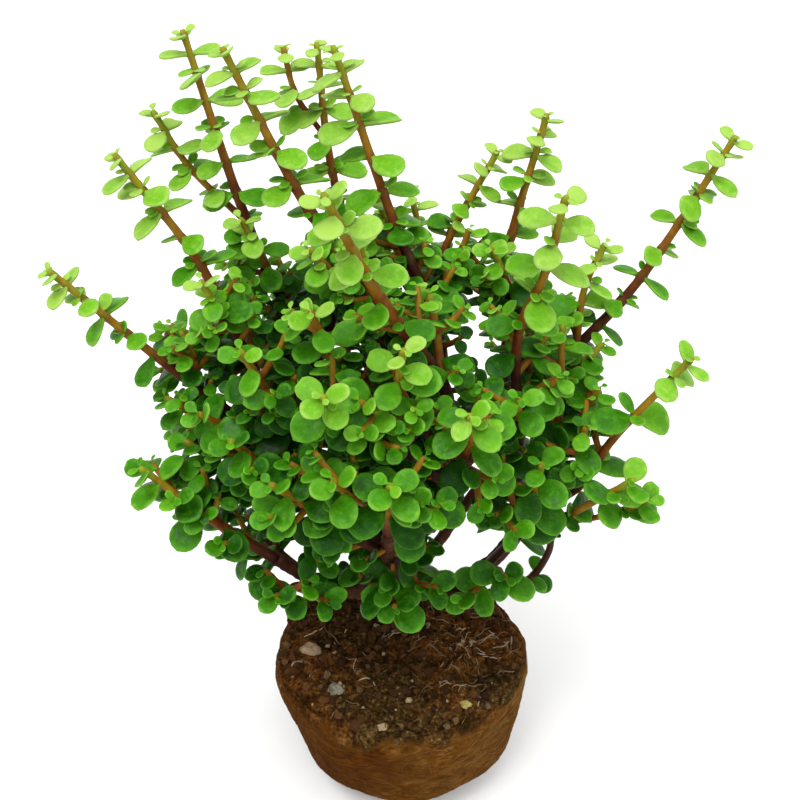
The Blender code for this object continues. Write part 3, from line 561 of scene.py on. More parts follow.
class Stem:
    """A tapered round stem, whose rings lie along a smooth curve at even distances."""

    def __init__(self, points, thick, thin, face=None):
        curve = spline(points)
        self.curve = even(curve, CURVE_PARTS)
        self.length = sum((b - a).length for a, b in zip(curve, curve[1:]))
        self.rings = max(2, round(self.length / RING_LENGTH))
        self.points = even(curve, self.rings)
        self.thick = thick
        self.thin = thin
        self.face = face or (curve[1] - curve[0]).normalized()

    def at(self, share, points=None):
        """The point at a share of the length, on the axis or on other even points."""
        points = points or self.points
        x = clamp(share) * (len(points) - 1)
        i = min(int(x), len(points) - 2)
        return points[i].lerp(points[i + 1], x - i)

    def heading(self, share):
        """The direction of growth at a share of the length."""
        i = min(int(share * CURVE_PARTS), CURVE_PARTS - 1)
        return (self.curve[i + 1] - self.curve[i]).normalized()

    def sideways(self, share, turn, nudge=LEVEL_NUDGE):
        """The direction square to the stem, turned about it from the level."""
        ahead = self.heading(share)
        level = square_to(ahead, UP.cross(ahead) + nudge)
        return level * math.cos(turn) + ahead.cross(level) * math.sin(turn)

    def radius(self, share):
        """The radius at a share of the length."""
        return self.thick + (self.thin - self.thick) * share

    def shell(self, sides, grow=0.0):
        """Corners and faces of the stem as a closed tube with flat ends."""
        shares = [k / self.rings for k in range(self.rings + 1)]
        aheads = [self.face] + [self.heading(share) for share in shares[1:]]
        radii = [self.radius(share) + grow for share in shares]
        corners = tube(self.points, aheads, radii, sides, self.face.orthogonal())
        return corners, tube_faces(len(shares), sides)


def grow_wood(room):
    """All limbs as stems, each rooted in the middle of the one that carries it."""
    wood = {}
    for name, (host, share, points, thick, thin) in LIMBS.items():
        path = [place(point) for point in points]
        if host:
            path.insert(0, wood[host].at(share))
        wood[name] = Stem(path, thick * MM, thin * MM)
        room.add_stem("wood", wood[name], LIMB_SIDES)
    return wood


def butt_on(limb, share, points, thick, thin):
    """A stem whose flat base butts on a limb's end, or on its side."""
    if share == 1:
        face = limb.heading(1.0)
        base = limb.at(1.0) + face * GAP
    else:
        face = square_to(limb.heading(share), points[0] - limb.at(share))
        base = limb.at(share) + face * (limb.radius(share) + GAP)
    return Stem([base, *points], thick, thin, face)


def fork_off(stem, share, tip):
    """A side stem that starts inside another one and bends up to its tip."""
    base = stem.at(share)
    out = square_to(stem.heading(share), tip - base)
    middle = base.lerp(tip, 0.5) + out * (tip - base).length * FORK_BULGE
    return Stem([base, middle, tip], stem.radius(share) * FORK_THICKNESS, TIP_RADIUS)


def ball_round(corners):
    """Middle and radius of a ball round some corners."""
    middle = sum(corners, Vector()) / len(corners)
    return middle, max((corner - middle).length for corner in corners)


class Room:
    """What the stems and leaves already take up, kept by cells, for clearance."""

    def __init__(self):
        self.cells = {}

    def near(self, middle, reach):
        """The cells that a ball touches."""
        return product(*[range(math.floor((c - reach) / CELL), math.floor((c + reach) / CELL) + 1)
                         for c in middle])

    def add(self, owner, corners, faces):
        """Take up the space of one closed shape."""
        middle, reach = ball_round(corners)
        thing = (owner, middle, reach, BVHTree.FromPolygons(corners, faces))
        for cell in self.near(middle, reach):
            self.cells.setdefault(cell, []).append(thing)

    def add_stem(self, owner, stem, sides):
        """Take up the space of a stem, ring by ring."""
        corners, faces = stem.shell(sides)
        for k in range(stem.rings):
            self.add(owner, corners[k * sides:(k + 2) * sides], faces[1:1 + sides])

    def clashes(self, corners, faces, others_of=None, own=None):
        """Whether a shape cuts what others take up, or what its own node does."""
        middle, reach = ball_round(corners)
        shape = BVHTree.FromPolygons(corners, faces)
        for cell in self.near(middle, reach):
            for owner, centre, radius, tree in self.cells.get(cell, ()):
                counts = owner == own if own else owner != others_of
                if counts and (centre - middle).length < radius + reach and shape.overlap(tree):
                    return True
        return False


def leaf_shape(leaf, grow=0.0):
    """Corners of a leaf with a flat face and a keel: root, rim from right to left, keel."""
    length = leaf.length + grow
    width = leaf.width + 2 * grow
    (near, near_half), (far, far_half) = LEAF_RIM
    rim = [(near, -near_half), (far, -far_half), (1, 0), (far, far_half), (near, near_half)]
    root = leaf.base + leaf.up * (LEAF_THICKNESS * LEAF_FACE_RISE + grow)
    keel = leaf.along * (leaf.stalk + LEAF_KEEL * length) - leaf.up * (LEAF_THICKNESS + 2 * grow)
    return [root, *[root + leaf.along * (leaf.stalk + share * length) + leaf.side * (across * width)
                    for share, across in rim], root + keel]


def leaf_middle(leaf):
    """The middle of a leaf's length."""
    return leaf.base + leaf.along * leaf.length * LEAF_MIDDLE


def of_rank(values, rank):
    """The value for a pair, counted from the tip; the last one holds for the rest."""
    return values[min(rank, len(values) - 1)]


def leaf_stations(stem, leaf_length, bare, stump=0.0):
    """Shares of the stem's length where its leaf pairs sit, from the tip down."""
    stations = []
    share = 1 - stump
    while True:
        step = of_rank(PAIR_SPACING, len(stations)) * MM * leaf_length / SPACING_LEAF
        share -= step / stem.length
        if share < bare:
            return stations
        stations.append(share)


def make_leaf(stem, share, rank, roll, leaf_length, draw):
    """One leaf at a station; rank counts pairs from the tip, roll turns it about the stem."""
    ahead = stem.heading(share)
    out = stem.sideways(share, roll)
    spread = draw.uniform(-LEAF_ANGLE_SPREAD, LEAF_ANGLE_SPREAD)
    angle = math.radians(of_rank(PAIR_ANGLES, rank) + spread)
    sag = LEAF_SAG[0] + LEAF_SAG[1] * max(0.0, out.dot(LIGHT_SIDE))
    along = ahead * math.cos(angle) + out * math.sin(angle)
    along.z = along.z * LEAF_SLOPE - sag
    along.normalize()
    face = ahead * LEAF_ALONG_STEM + UP * (1 - LEAF_ALONG_STEM) + LIGHT_SIDE * LEAF_TO_LIGHT
    level_up = square_to(along, face)
    tilt = math.radians(draw.uniform(-LEAF_TILT_SPREAD, LEAF_TILT_SPREAD))
    up = level_up * math.cos(tilt) + level_up.cross(along) * math.sin(tilt)
    size = leaf_length * of_rank(PAIR_SIZES, rank) * draw.uniform(*LEAF_SIZE_SPREAD)
    width = size * LEAF_WIDTH * draw.uniform(*LEAF_WIDTH_SPREAD)
    radius = stem.radius(share)
    base = stem.at(share) - along * radius * LEAF_ROOT
    stalk = radius * (1 + LEAF_ROOT)
    return Leaf(base, along, up.cross(along), up, stalk, size, width, stem, share, rank, roll)


def settle(room, name, leaf):
    """Whether a leaf is clear of the other nodes, of its own node's blades and of the soil.

    If it is, it takes up its space.
    """
    shape = leaf_shape(leaf)
    roomy = leaf_shape(leaf, LEAF_MARGIN)
    if (min(corner.z for corner in roomy) < BALL_HEIGHT + SOIL_MARGIN
            or room.clashes(roomy, LEAF_FACES, others_of=name)
            or room.clashes(shape, BLADE_ALONE, own=name)):
        return False
    room.add(name, shape, LEAF_FACES)
    return True


def grow_pair(room, name, stem, share, rank, leaf_length, draw):
    """The two leaves of one station, each rolled until it hangs clear."""
    leaves = []
    spread = draw.uniform(-PAIR_ROLL_SPREAD, PAIR_ROLL_SPREAD)
    start = math.radians(PAIR_START + 90 * (rank % 2) + spread)
    for half in (0, math.pi):
        for roll in LEAF_ROLLS:
            leaf = make_leaf(stem, share, rank, start + half + math.radians(roll), leaf_length, draw)
            if settle(room, name, leaf):
                leaves.append(leaf)
                break
    return leaves


def grow_row(room, name, stem, leaf_length, draw, bare, stump=0.0, ranks=ALL_RANKS):
    """One stem's leaf pairs of the wanted ranks, from the tip down."""
    leaves = []
    for rank, share in enumerate(leaf_stations(stem, leaf_length, bare, stump)):
        if rank in ranks:
            leaves += grow_pair(room, name, stem, share, rank, leaf_length, draw)
    return leaves


def grow_leaves(room, sets, name, stems, draw, pairs):
    """A shoot's leaf pairs of the wanted ranks, on its stem and on its forks."""
    leaf_length, bare, stump = sets[name]
    leaves = grow_row(room, name, stems[0], leaf_length, draw, bare, stump, pairs[0])
    for fork in stems[1:]:
        leaves += grow_row(room, name, fork, leaf_length, draw, FORK_BARE, 0.0, pairs[1])
    return leaves


def fill_shoots(wood, room):
    """More shoots over the crown's back, to tips spread by the golden angle."""
    taken = [place(shoot.points[-1]) for shoot in SHOOTS.values()]
    taken += [place(tip) for shoot in SHOOTS.values() for _, tip in shoot.forks]
    shoots = {}
    for i in range(CROWN_TIPS):
        level = 1 - 2 * (i + 0.5) / CROWN_TIPS
        flat = math.sqrt(1 - level * level)
        turn = i * GOLDEN_ANGLE
        out = (flat * math.cos(turn), flat * math.sin(turn), level)
        tip = place([CROWN_CENTRE[k] + out[k] * CROWN_RADII[k] for k in range(3)])
        near = min((tip - other).length for other in taken)
        if near < CROWN_SPREAD * MM or tip.z < CROWN_LOWEST * MM or tip.y < CROWN_FRONT * MM:
            continue
        stem = reach_tip(wood, room, tip)
        if stem and len(shoots) < CROWN_SHOOTS:
            name = f"fill_{len(shoots) + 1}"
            shoots[name] = stem
            taken.append(tip)
            room.add_stem(name, stem, SHOOT_SIDES)
    return shoots


def reach_tip(wood, room, tip):
    """The shortest clear stem from the side of some limb to a tip."""
    starts = [((tip - limb.at(share)).length, name, share)
              for name, limb in wood.items() for share in FILL_PLACES]
    least, most = CROWN_REACH
    for distance, name, share in sorted(starts):
        limb = wood[name]
        base = limb.at(share)
        ahead = limb.heading(share)
        if (not least * MM < distance < most * MM
                or (tip - base).normalized().dot(ahead) < FILL_LEAST_LEAN):
            continue
        out = square_to(ahead, tip - base)
        first = base + (out * FILL_START[0] + ahead * FILL_START[1]) * distance
        middle = base.lerp(tip, FILL_MIDDLE) + (out - UP) * distance * FILL_SAG
        stem = butt_on(limb, share, [first, middle, tip], FILL_RADIUS * MM, TIP_RADIUS)
        if not room.clashes(*stem.shell(SHOOT_SIDES, GAP)):
            return stem
    return None


def fill_fork(room, name, stem):
    """A fork on a filling shoot, turned about it until it is clear, or nothing."""
    for step in range(FORK_TRIES):
        out = stem.sideways(FORK_PLACE, step * GOLDEN_ANGLE, Vector())
        reach = out * FORK_REACH[0] + stem.heading(FORK_PLACE) * FORK_REACH[1]
        fork = fork_off(stem, FORK_PLACE, stem.at(FORK_PLACE) + reach * MM)
        if not room.clashes(*fork.shell(FORK_SIDES, GAP), others_of=name):
            room.add_stem(name, fork, FORK_SIDES)
            return [fork]
    return []


def grow_stems(wood, room):
    """For each shoot its stem and forks, and with what leaves they are set."""
    stems = {}
    sets = {}
    for name, shoot in SHOOTS.items():
        points = [place(point) for point in shoot.points]
        thin = CUT_RADIUS if shoot.cut else TIP_RADIUS
        main = butt_on(wood[shoot.limb], shoot.place, points, shoot.radius * MM, thin)
        room.add_stem(name, main, SHOOT_SIDES)
        stems[name] = [main] + [fork_off(main, share, place(tip)) for share, tip in shoot.forks]
        for fork in stems[name][1:]:
            room.add_stem(name, fork, FORK_SIDES)
        sets[name] = (shoot.leaf * MM, shoot.bare, CUT_STUMP if shoot.cut else 0)
    for name, main in fill_shoots(wood, room).items():
        stems[name] = [main, *fill_fork(room, name, main)]
        sets[name] = (FILL_LEAF * MM, FILL_BARE, 0)
    return stems, sets


def grow_more_forks(room, stems, sets, leaves):
    """The forks beyond those of the solids, with leaves down their length."""
    for index, (name, forks) in enumerate(MORE_FORKS.items()):
        draw = random.Random(MORE_FORKS_SEED + index)
        for share, tip in forks:
            fork = fork_off(stems[name][0], share, place(tip))
            room.add_stem(name, fork, FORK_SIDES)
            stems[name].append(fork)
            leaves[name] += grow_row(room, name, fork, sets[name][0], draw, FORK_BARE)


def grow_more_pairs(room, stems, sets, leaves):
    """The leaf pairs that the solids leave out between theirs."""
    for index, (name, row) in enumerate(stems.items()):
        if sets[name][2] or name in SPARSE:
            continue
        count = 1 + len(SHOOTS[name].forks) if name in SHOOTS else len(row)
        draw = random.Random(MORE_PAIRS_SEED + index)
        leaves[name] += grow_leaves(room, sets, name, row[:count], draw, OTHER_PAIRS)


def crown_depth(point):
    """How far out a point is in the bushy crown: 0 in its middle, 1 at its skin."""
    away = point - place(SPUR_MIDDLE)
    return math.sqrt(sum((away[k] / (SPUR_CROWN[k] * MM)) ** 2 for k in range(3)))


def in_crown(point):
    """Whether a point is inside the bushy part of the crown."""
    left, right = SPUR_SIDES
    rise = max(0.0, (left - point.x) * SPUR_RISE[0], (point.x - right) * SPUR_RISE[1])
    return point.z > SPUR_LOWEST + rise and crown_depth(point) < 1


def in_opening(leaf):
    """Whether a leaf closes one of the openings."""
    eye = place(FRONT)
    away = leaf_middle(leaf) - eye
    return any(away.cross((place((x, 0, z)) - eye).normalized()).length
               < radius * MM + leaf.length * OPENING_LEAF for x, z, radius in OPENINGS)


def spur_leaf(height):
    """Length of a side shoot's leaves: finer towards the top."""
    (low, long), (high, short) = SPUR_LEAVES
    return (long + (short - long) * clamp((height / MM - low) / (high - low))) * MM


def side_spur(host, share, turn, reach):
    """A short shoot that leaves a stem sideways and bends up."""
    base = host.at(share)
    out = host.sideways(share, turn)
    tip = base + out * (host.radius(share) + reach * SPUR_OUT)
    tip += (host.heading(share) + UP) * reach * SPUR_UP
    middle = base.lerp(tip, 0.5) + out * reach * SPUR_BULGE
    return Stem([base, middle, tip], SPUR_RADIUS, TIP_RADIUS * SPUR_TIP)


def grow_spurs(room, wood, stems, leaves):
    """Short leafy side shoots from every stem and limb, where the crown has room."""
    spots = [leaf_middle(leaf) for row in leaves.values() for leaf in row]
    hosts = [(name, name, stem) for name, row in stems.items() for stem in row]
    hosts += [("limbs", "wood", limb) for name, limb in wood.items() if name != "trunk"]
    stems["limbs"] = []
    leaves["limbs"] = []
    first, last = SPUR_SPAN
    for index, (name, owner, host) in enumerate(hosts):
        draw = random.Random(SPUR_SEED + index)
        count = int(host.length * (last - first) / SPUR_SPACING)
        for k in range(count):
            share = first + (last - first) * (k + draw.random()) / count
            turn = k * GOLDEN_ANGLE + draw.uniform(0, math.tau)
            reach = draw.uniform(*SPUR_REACH)
            for step in SPUR_TURNS:
                spur = side_spur(host, share, turn + math.radians(step), reach)
                tip = spur.points[-1]
                small = spur_leaf(tip.z)
                if (not in_crown(tip) or min((tip - spot).length for spot in spots) < small * SPUR_ROOM
                        or room.clashes(*spur.shell(FORK_SIDES), others_of=owner)):
                    continue
                found = grow_row(room, name, spur, small, draw, SPUR_BARE)
                if found and not any(in_opening(leaf) for leaf in found):
                    room.add_stem(name, spur, FORK_SIDES)
                    stems[name].append(spur)
                    leaves[name] += found
                    spots += [leaf_middle(leaf) for leaf in found]
                    break


def grow_buds(room, leaves):
    """Small leaf pairs in the axils, wherever the plant is not too bushy to show them."""
    for index, (name, row) in enumerate(leaves.items()):
        draw = random.Random(BUD_SEED + index)
        for leaf in list(row):
            share = leaf.share + BUD_RISE / leaf.stem.length
            turns = BUD_TURNS
            if not leaf.rank:
                share = BUD_TIP_PLACE
                turns = BUD_TIP_TURNS
            elif draw.random() > BUD_SHARE or crown_depth(leaf.base) < BUD_DEPTH:
                continue
            for turn in turns:
                size = leaf.length * draw.uniform(*BUD_SIZE)
                bud = make_leaf(leaf.stem, share, 0, leaf.roll + math.radians(turn), size, draw)
                if settle(room, name, bud):
                    row.append(bud._replace(rank=leaf.rank))


class Shell:
    """Corners, faces and tints gathered for one piece."""

    def __init__(self):
        self.corners = []
        self.faces = []
        self.tints = []

    def add(self, corners, faces, tints):
        """Add one closed shape, with a tint for all of it or one for each corner."""
        start = len(self.corners)
        self.corners += corners
        self.faces += [tuple(start + corner for corner in face) for face in faces]
        self.tints += [tints] * len(corners) if isinstance(tints, tuple) else tints


def add_object(name, data):
    """A new object in the scene."""
    thing = bpy.data.objects.new(name, data)
    bpy.context.scene.collection.objects.link(thing)
    return thing


def add_piece(name, shell, material, node):
    """A smooth mesh piece that rides on the root body and stands for its node."""
    mesh = bpy.data.meshes.new(name)
    mesh.from_pydata([tuple(corner) for corner in shell.corners], [], shell.faces)
    mesh.update()
    tint_mesh(mesh, shell.tints)
    mesh.materials.append(material)
    piece = add_object(name, mesh)
    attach(piece, "root")
    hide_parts(node)
    return piece


def tint_mesh(mesh, tints):
    """Store the corners' tints, from which the materials mix, and smooth the shading."""
    layer = mesh.color_attributes.new("tint", "FLOAT_COLOR", "POINT")
    layer.data.foreach_set("color", [value for tint in tints for value in tint])
    mesh.shade_smooth()


def youth_and_shade_of(leaf, draw):
    """How young a leaf looks, plus painted light and shade: bright at the tips and outside, deep low down
    and inside.
    """
    point = leaf.base + leaf.along * leaf.length
    # Painted light: more in the open and high up; painted shade deep inside and low down.
    start, over, most = PAINTED_LIGHT_OPEN
    outside = min(most, max(0.0, (crown_depth(point) - start) / over))
    high = clamp((point.z - PAINTED_LIGHT_HIGH[0]) / PAINTED_LIGHT_HIGH[1])
    least, open_air, lift, inner, outer = PAINTED_LIGHT_LEVELS
    light = least + open_air * outside + lift * high * (inner + outer * outside)
    light *= PAINTED_LIGHT_RISE[0] + PAINTED_LIGHT_RISE[1] * high
    return clamp(of_rank(YOUTH, leaf.rank) * light + draw.uniform(-YOUTH_SPREAD, YOUTH_SPREAD))


def fine_leaf(leaf, draw):
    """Corners, faces and tints of one fleshy leaf: R youth and painted shade, G rim, B underside, A along.
    """
    cup, bend, twist, blunt = (draw.uniform(*span)
                               for span in (LEAF_CUP, LEAF_BEND, LEAF_TWIST, LEAF_BLUNT))
    youth_and_shade = youth_and_shade_of(leaf, draw)
    smooth = leaf.stem.at(leaf.share, leaf.stem.curve) - leaf.stem.at(leaf.share)
    root = leaf.base + smooth + leaf.up * LEAF_THICKNESS * LEAF_FACE_RISE
    plump, thinner, long = LEAF_PLUMP
    thick = leaf.length * LEAF_HALF_THICK * (plump - thinner * min(1.0, leaf.length / long))
    inside, stalk_half, stalk_depth = LEAF_STALK
    rows = [(inside * leaf.stalk, 0.0, stalk_half, stalk_depth)]
    rows += [(share * leaf.length, share, half * blunt if share > LEAF_MIDDLE else half,
              (1 - share ** LEAF_THINNING) ** 0.5) for share, half in LEAF_OUTLINE]
    corners = []
    tints = []
    for reach, share, half, depth in rows:
        turn = twist * share
        side = leaf.side * math.cos(turn) + leaf.up * math.sin(turn)
        up = leaf.up * math.cos(turn) - leaf.side * math.sin(turn)
        middle = root + leaf.along * (leaf.stalk + reach)
        lift = leaf.up * (bend * leaf.length * share * share)
        for across, height in LEAF_SECTION:
            flat = across * half * leaf.width
            rise = cup * abs(across) ** LEAF_CUP_CURVE * half * leaf.width + height * thick * depth
            corners.append(middle + side * flat + up * rise + lift)
            rim = abs(across) ** RIM_CURVE if share else 0
            if share > RIM_TIP[0]:
                rim = max(rim, RIM_TIP[1])
            tints.append((youth_and_shade, rim, 1.0 if height < 0 else 0.0, share))
    count = len(LEAF_SECTION)
    last = len(corners) - count
    faces = tube_faces(len(rows), count)[:-1]
    faces += [(last + s, last + (s + 1) % count, last + count) for s in range(count)]
    corners.append(root + leaf.along * (leaf.stalk + leaf.length * blunt) + leaf.up * bend * leaf.length)
    return corners, faces, [*tints, (youth_and_shade, 1, 0, 1)]


def fine_stem(stem, knots, sides, worn):
    """A round stem along the smooth curve, swollen at each leaf pair: R age and painted shade, G knot."""
    rings = max(LEAST_RINGS, round(stem.length / STEM_RING))
    points = even(stem.curve, rings)
    radii = []
    tints = []
    for k, point in enumerate(points):
        share = k / rings
        knot = sum(math.exp(-((share - at) * stem.length / KNOT_WIDTH) ** 2) for at in knots)
        knot = min(knot, 1)
        radii.append(stem.radius(share) * (1 + KNOT_SWELL * knot) * (STEM_END if k == rings else 1))
        # Painted shade: stems deep in the crown, and side shoots there, are painted darker.
        shade = clamp(STEM_SHADE - STEM_SHADE * crown_depth(point))
        low = clamp((LOW_WOOD[0] - point.z) / LOW_WOOD[1])
        if stem.radius(0) <= SPUR_RADIUS:
            low = max(low, SPUR_SHADE / SHADE_INSIDE)
        age_and_shade = (1 - share) * stem.length / STEM_OLD + worn + SHADE_INSIDE * max(shade, low)
        tints += [(min(1.0, age_and_shade), knot, 0, 1)] * sides
    corners = tube(points, headings(points, stem.face), radii, sides, stem.face.orthogonal())
    return corners, tube_faces(len(points), sides), tints


def build_shoots(stems, sets, leaves):
    """Each leafy shoot as two pieces: its stems and its leaves."""
    leaf_paint = paint_leaf()
    stem_paint = paint_stem()
    for index, (name, row) in enumerate(stems.items()):
        draw = random.Random(LOOKS_SEED + index)
        node = "trunk_and_limbs" if name == "limbs" else name
        worn = OLD_CUT if name in sets and sets[name][2] else 0.0
        wood = Shell()
        for k, stem in enumerate(row):
            knots = sorted({leaf.share for leaf in leaves[name] if leaf.stem is stem})
            wood.add(*fine_stem(stem, knots, TWIG_SIDES if k else STEM_SIDES, worn))
        green = Shell()
        for leaf in leaves[name]:
            green.add(*fine_leaf(leaf, draw))
        add_piece(name + "_stems", wood, stem_paint, node)
        add_piece(name + "_leaves", green, leaf_paint, node)


def side_radius(height):
    """The root ball's radius at a height."""
    for (high, outer), (low, inner) in zip(BALL_SIDE, BALL_SIDE[1:]):
        if low * MM <= height:
            share = (height - low * MM) / ((high - low) * MM)
            return (inner + (outer - inner) * min(share, 1.0)) * MM
    return BALL_SIDE[-1][1] * MM


def side_point(turn, height):
    """A point on the root ball's side, which leans off its foot and is a little lumpy."""
    lump = sum(math.sin(around * turn + up * height + start) for around, up, start in BALL_WAVES)
    radius = side_radius(height) + BALL_LUMP * lump * min(1.0, height / BALL_CALM)
    lean = (1 - height / BALL_HEIGHT) ** BALL_FOOT_CURVE
    return Vector((*BALL_FOOT_SHIFT, 0)) * MM * lean + round_about(turn, radius, height)


def soil_height(x, y):
    """Height of the soil's top: a low dome with clods."""
    clod = sum(size * math.sin(across * x + back * y + start)
               for size, across, back, start in SOIL_WAVES)
    far = math.hypot(x, y) / side_radius(BALL_HEIGHT)
    return BALL_HEIGHT + (SOIL_DOME + SOIL_CLOD * clod) * (1 - far ** SOIL_DOME_CURVE)


def stone_shape(index, middle, sizes):
    """An angular stone: the hull of points drawn on an ellipsoid."""
    draw = random.Random(STONE_SEED + index)
    hull = bmesh.new()
    for _ in range(STONE_POINTS):
        spot = Vector(draw.gauss(0, 1) for _ in range(3)).normalized()
        hull.verts.new(middle + Vector(spot[k] * sizes[k] * MM for k in range(3)))
    bmesh.ops.convex_hull(hull, input=hull.verts)
    loose = [vert for vert in hull.verts if not vert.link_faces]
    bmesh.ops.delete(hull, geom=loose, context="VERTS")
    bmesh.ops.recalc_face_normals(hull, faces=hull.faces)
    return corners_and_faces(hull)


def corners_and_faces(shape):
    """What a finished bmesh holds; it is freed."""
    shape.verts.index_update()
    corners = [vert.co.copy() for vert in shape.verts]
    faces = [tuple(vert.index for vert in face.verts) for face in shape.faces]
    shape.free()
    return corners, faces


class Paint:
    """A procedural material, with short calls that add its nodes."""

    def __init__(self, name):
        self.material = bpy.data.materials.new(name)
        self.material.use_nodes = True
        self.tree = self.material.node_tree
        self.surface = self.tree.nodes["Principled BSDF"]
        self.place = self.node("TexCoord", {})["Object"]

    def feed(self, value, socket):
        """Link a socket to another, or set it to a number or colour."""
        if isinstance(value, bpy.types.NodeSocket):
            self.tree.links.new(value, socket)
        elif isinstance(value, tuple) and socket.type == "RGBA":
            socket.default_value = (*value, 1)
        else:
            socket.default_value = value

    def node(self, kind, inputs, **settings):
        """The outputs of a new node, with its settings made and its inputs fed."""
        node = self.tree.nodes.new("ShaderNode" + kind)
        for name, value in settings.items():
            setattr(node, name, value)
        for key, value in inputs.items():
            self.feed(value, node.inputs[key])
        return node.outputs

    def tint(self):
        """The four channels of the mesh's tint."""
        colours = self.node("Attribute", {}, attribute_name="tint")
        return (*self.node("SeparateColor", {"Color": colours["Color"]}), colours["Alpha"])

    def noise(self, scale, detail=4.0, stretch=None, warp=0.0):
        """Noise in the object's own coordinates, about 0.5 on average."""
        spot = self.place
        if stretch:
            spot = self.node("Mapping", {"Vector": spot, "Scale": stretch})["Vector"]
        return self.node("TexNoise", {"Vector": spot, "Scale": scale, "Detail": detail,
                                      "Distortion": warp})["Fac"]

    def sum(self, operation, a, b):
        """One Math node, its result held between 0 and 1."""
        return self.node("Math", {0: a, 1: b}, operation=operation, use_clamp=True)[0]

    def blend(self, a, b, share):
        """Two values mixed, with this share of the first."""
        return self.sum("ADD", self.sum("MULTIPLY", a, share), self.sum("MULTIPLY", b, 1 - share))

    def span(self, value, low, high, to_low=0.0, to_high=1.0):
        """A value's range stretched to another one, and held inside it."""
        return self.node("MapRange", {"Value": value, "From Min": low, "From Max": high,
                                      "To Min": to_low, "To Max": to_high})["Result"]

    def mix(self, share, a, b):
        """Two colours mixed."""
        return self.node("Mix", {0: share, 6: a, 7: b}, data_type="RGBA")[2]

    def cover(self, colour, value, low, high, most, over):
        """A colour with another one over it, the more so the higher a value is."""
        return self.mix(self.span(value, low, high, 0.0, most), colour, over)

    def ramp(self, value, *stops):
        """Colours along a value, from place and colour pairs."""
        node = self.tree.nodes.new("ShaderNodeValToRGB")
        self.feed(value, node.inputs["Fac"])
        bar = node.color_ramp.elements
        while len(bar) < len(stops):
            bar.new(0.5)
        for mark, (at, colour) in zip(bar, stops):
            mark.position = at
            mark.color = (*colour, 1)
        return node.outputs["Color"]

    def bump(self, height, depth, strength=1.0):
        """Relief from a height, depth in metres."""
        relief = self.node("Bump", {"Height": height, "Distance": depth, "Strength": strength})
        self.feed(relief["Normal"], self.surface.inputs["Normal"])

    def done(self, colour, roughness, **sockets):
        """Set the shader's inputs and give the material back."""
        self.feed(colour, self.surface.inputs["Base Color"])
        self.feed(roughness, self.surface.inputs["Roughness"])
        for name, value in sockets.items():
            self.feed(value, self.surface.inputs[name.replace("_", " ")])
        return self.material


def paint_leaf():
    """Waxy fleshy leaves: yellow-green when young, deep green when old and where shade is painted deep in
    the crown, pale rim.
    """
    paint = Paint("leaf")
    youth_and_shade, rim, under, along = paint.tint()
    patch = paint.noise(160, 3)
    cloud = paint.noise(480, 3)
    grain = paint.noise(1100, 4)
    # The first tint channel carries the leaf's age with painted light and shade from its place in the
    # crown.
    shade = youth_and_shade
    # Undersides are made a little darker by the last term: painted shade.
    for value in (paint.span(patch, 0.3, 0.7, -0.07, 0.07), paint.span(cloud, 0.5, 0.75, 0.0, 0.13),
                  paint.span(grain, 0.45, 0.75, 0.0, 0.08), paint.sum("MULTIPLY", rim, 0.22),
                  paint.span(along, 0.0, 0.3, 0.16, 0.0), paint.span(under, 0.0, 1.0, 0.0, -0.06)):
        shade = paint.sum("ADD", shade, value)
    # The palest stop is paler and bluer than the rest, partly a painted sheen on the brightest leaves.
    colour = paint.ramp(shade, (0.0, (0.0025, 0.018, 0.0004)), (0.25, (0.010, 0.072, 0.0008)),
                        (0.5, (0.044, 0.195, 0.002)), (0.75, (0.120, 0.318, 0.011)),
                        (1.0, (0.255, 0.415, 0.062)))
    edge = paint.sum("MULTIPLY", rim, paint.span(youth_and_shade, 0.2, 0.8, 0.05, 0.38))
    colour = paint.mix(edge, colour, (0.27, 0.43, 0.11))
    paint.bump(paint.blend(paint.noise(210, 2), paint.noise(620, 5), 0.7), 1.1 * MM, 0.6)
    return paint.done(colour, paint.span(patch, 0.3, 0.7, 0.32, 0.5), Subsurface_Weight=0.05,
                      Subsurface_Scale=2 * MM, Subsurface_Radius=(0.6, 1.0, 0.25), IOR=1.45,
                      Specular_IOR_Level=0.11)


def paint_stem():
    """Smooth young stems: yellow-green at the tip, orange-brown, then dark red-brown, darker where shade is
    painted on.
    """
    paint = Paint("stem")
    age_and_shade, knot, _, _ = paint.tint()
    patch = paint.noise(220, 4)
    streak = paint.noise(60, 4, (9, 9, 1.5))
    mottled_age_and_shade = paint.sum("ADD", age_and_shade, paint.span(patch, 0.3, 0.7, -0.12, 0.12))
    colour = paint.ramp(mottled_age_and_shade, (0.0, (0.20, 0.25, 0.012)), (0.18, (0.25, 0.155, 0.007)),
                        (0.42, (0.19, 0.066, 0.005)), (0.66, (0.085, 0.018, 0.003)),
                        (1.0, (0.026, 0.007, 0.003)))
    colour = paint.cover(colour, streak, 0.45, 0.75, 0.35, (0.060, 0.018, 0.008))
    colour = paint.mix(paint.sum("MULTIPLY", knot, 0.28), colour, (0.09, 0.07, 0.015))
    paint.bump(streak, 0.3 * MM, 0.6)
    return paint.done(colour, paint.span(patch, 0.3, 0.7, 0.38, 0.6), Specular_IOR_Level=0.1)


def paint_bark():
    """Old bark: dark red-brown, with grey-brown patches and fine wrinkles."""
    paint = Paint("bark")
    high, _, _, _ = paint.tint()
    patch = paint.noise(90, 5)
    wrinkle = paint.noise(260, 6, (1, 1, 0.35), 0.6)
    colour = paint.ramp(patch, (0.3, (0.022, 0.008, 0.004)), (0.55, (0.060, 0.019, 0.008)),
                        (0.8, (0.11, 0.050, 0.028)))
    colour = paint.cover(colour, wrinkle, 0.4, 0.7, 0.5, (0.020, 0.008, 0.005))
    colour = paint.cover(colour, high, 0.5, 1.0, 0.35, (0.15, 0.085, 0.055))
    paint.bump(wrinkle, 0.7 * MM, 0.8)
    return paint.done(colour, paint.span(patch, 0.3, 0.7, 0.6, 0.85), Specular_IOR_Level=0.08)


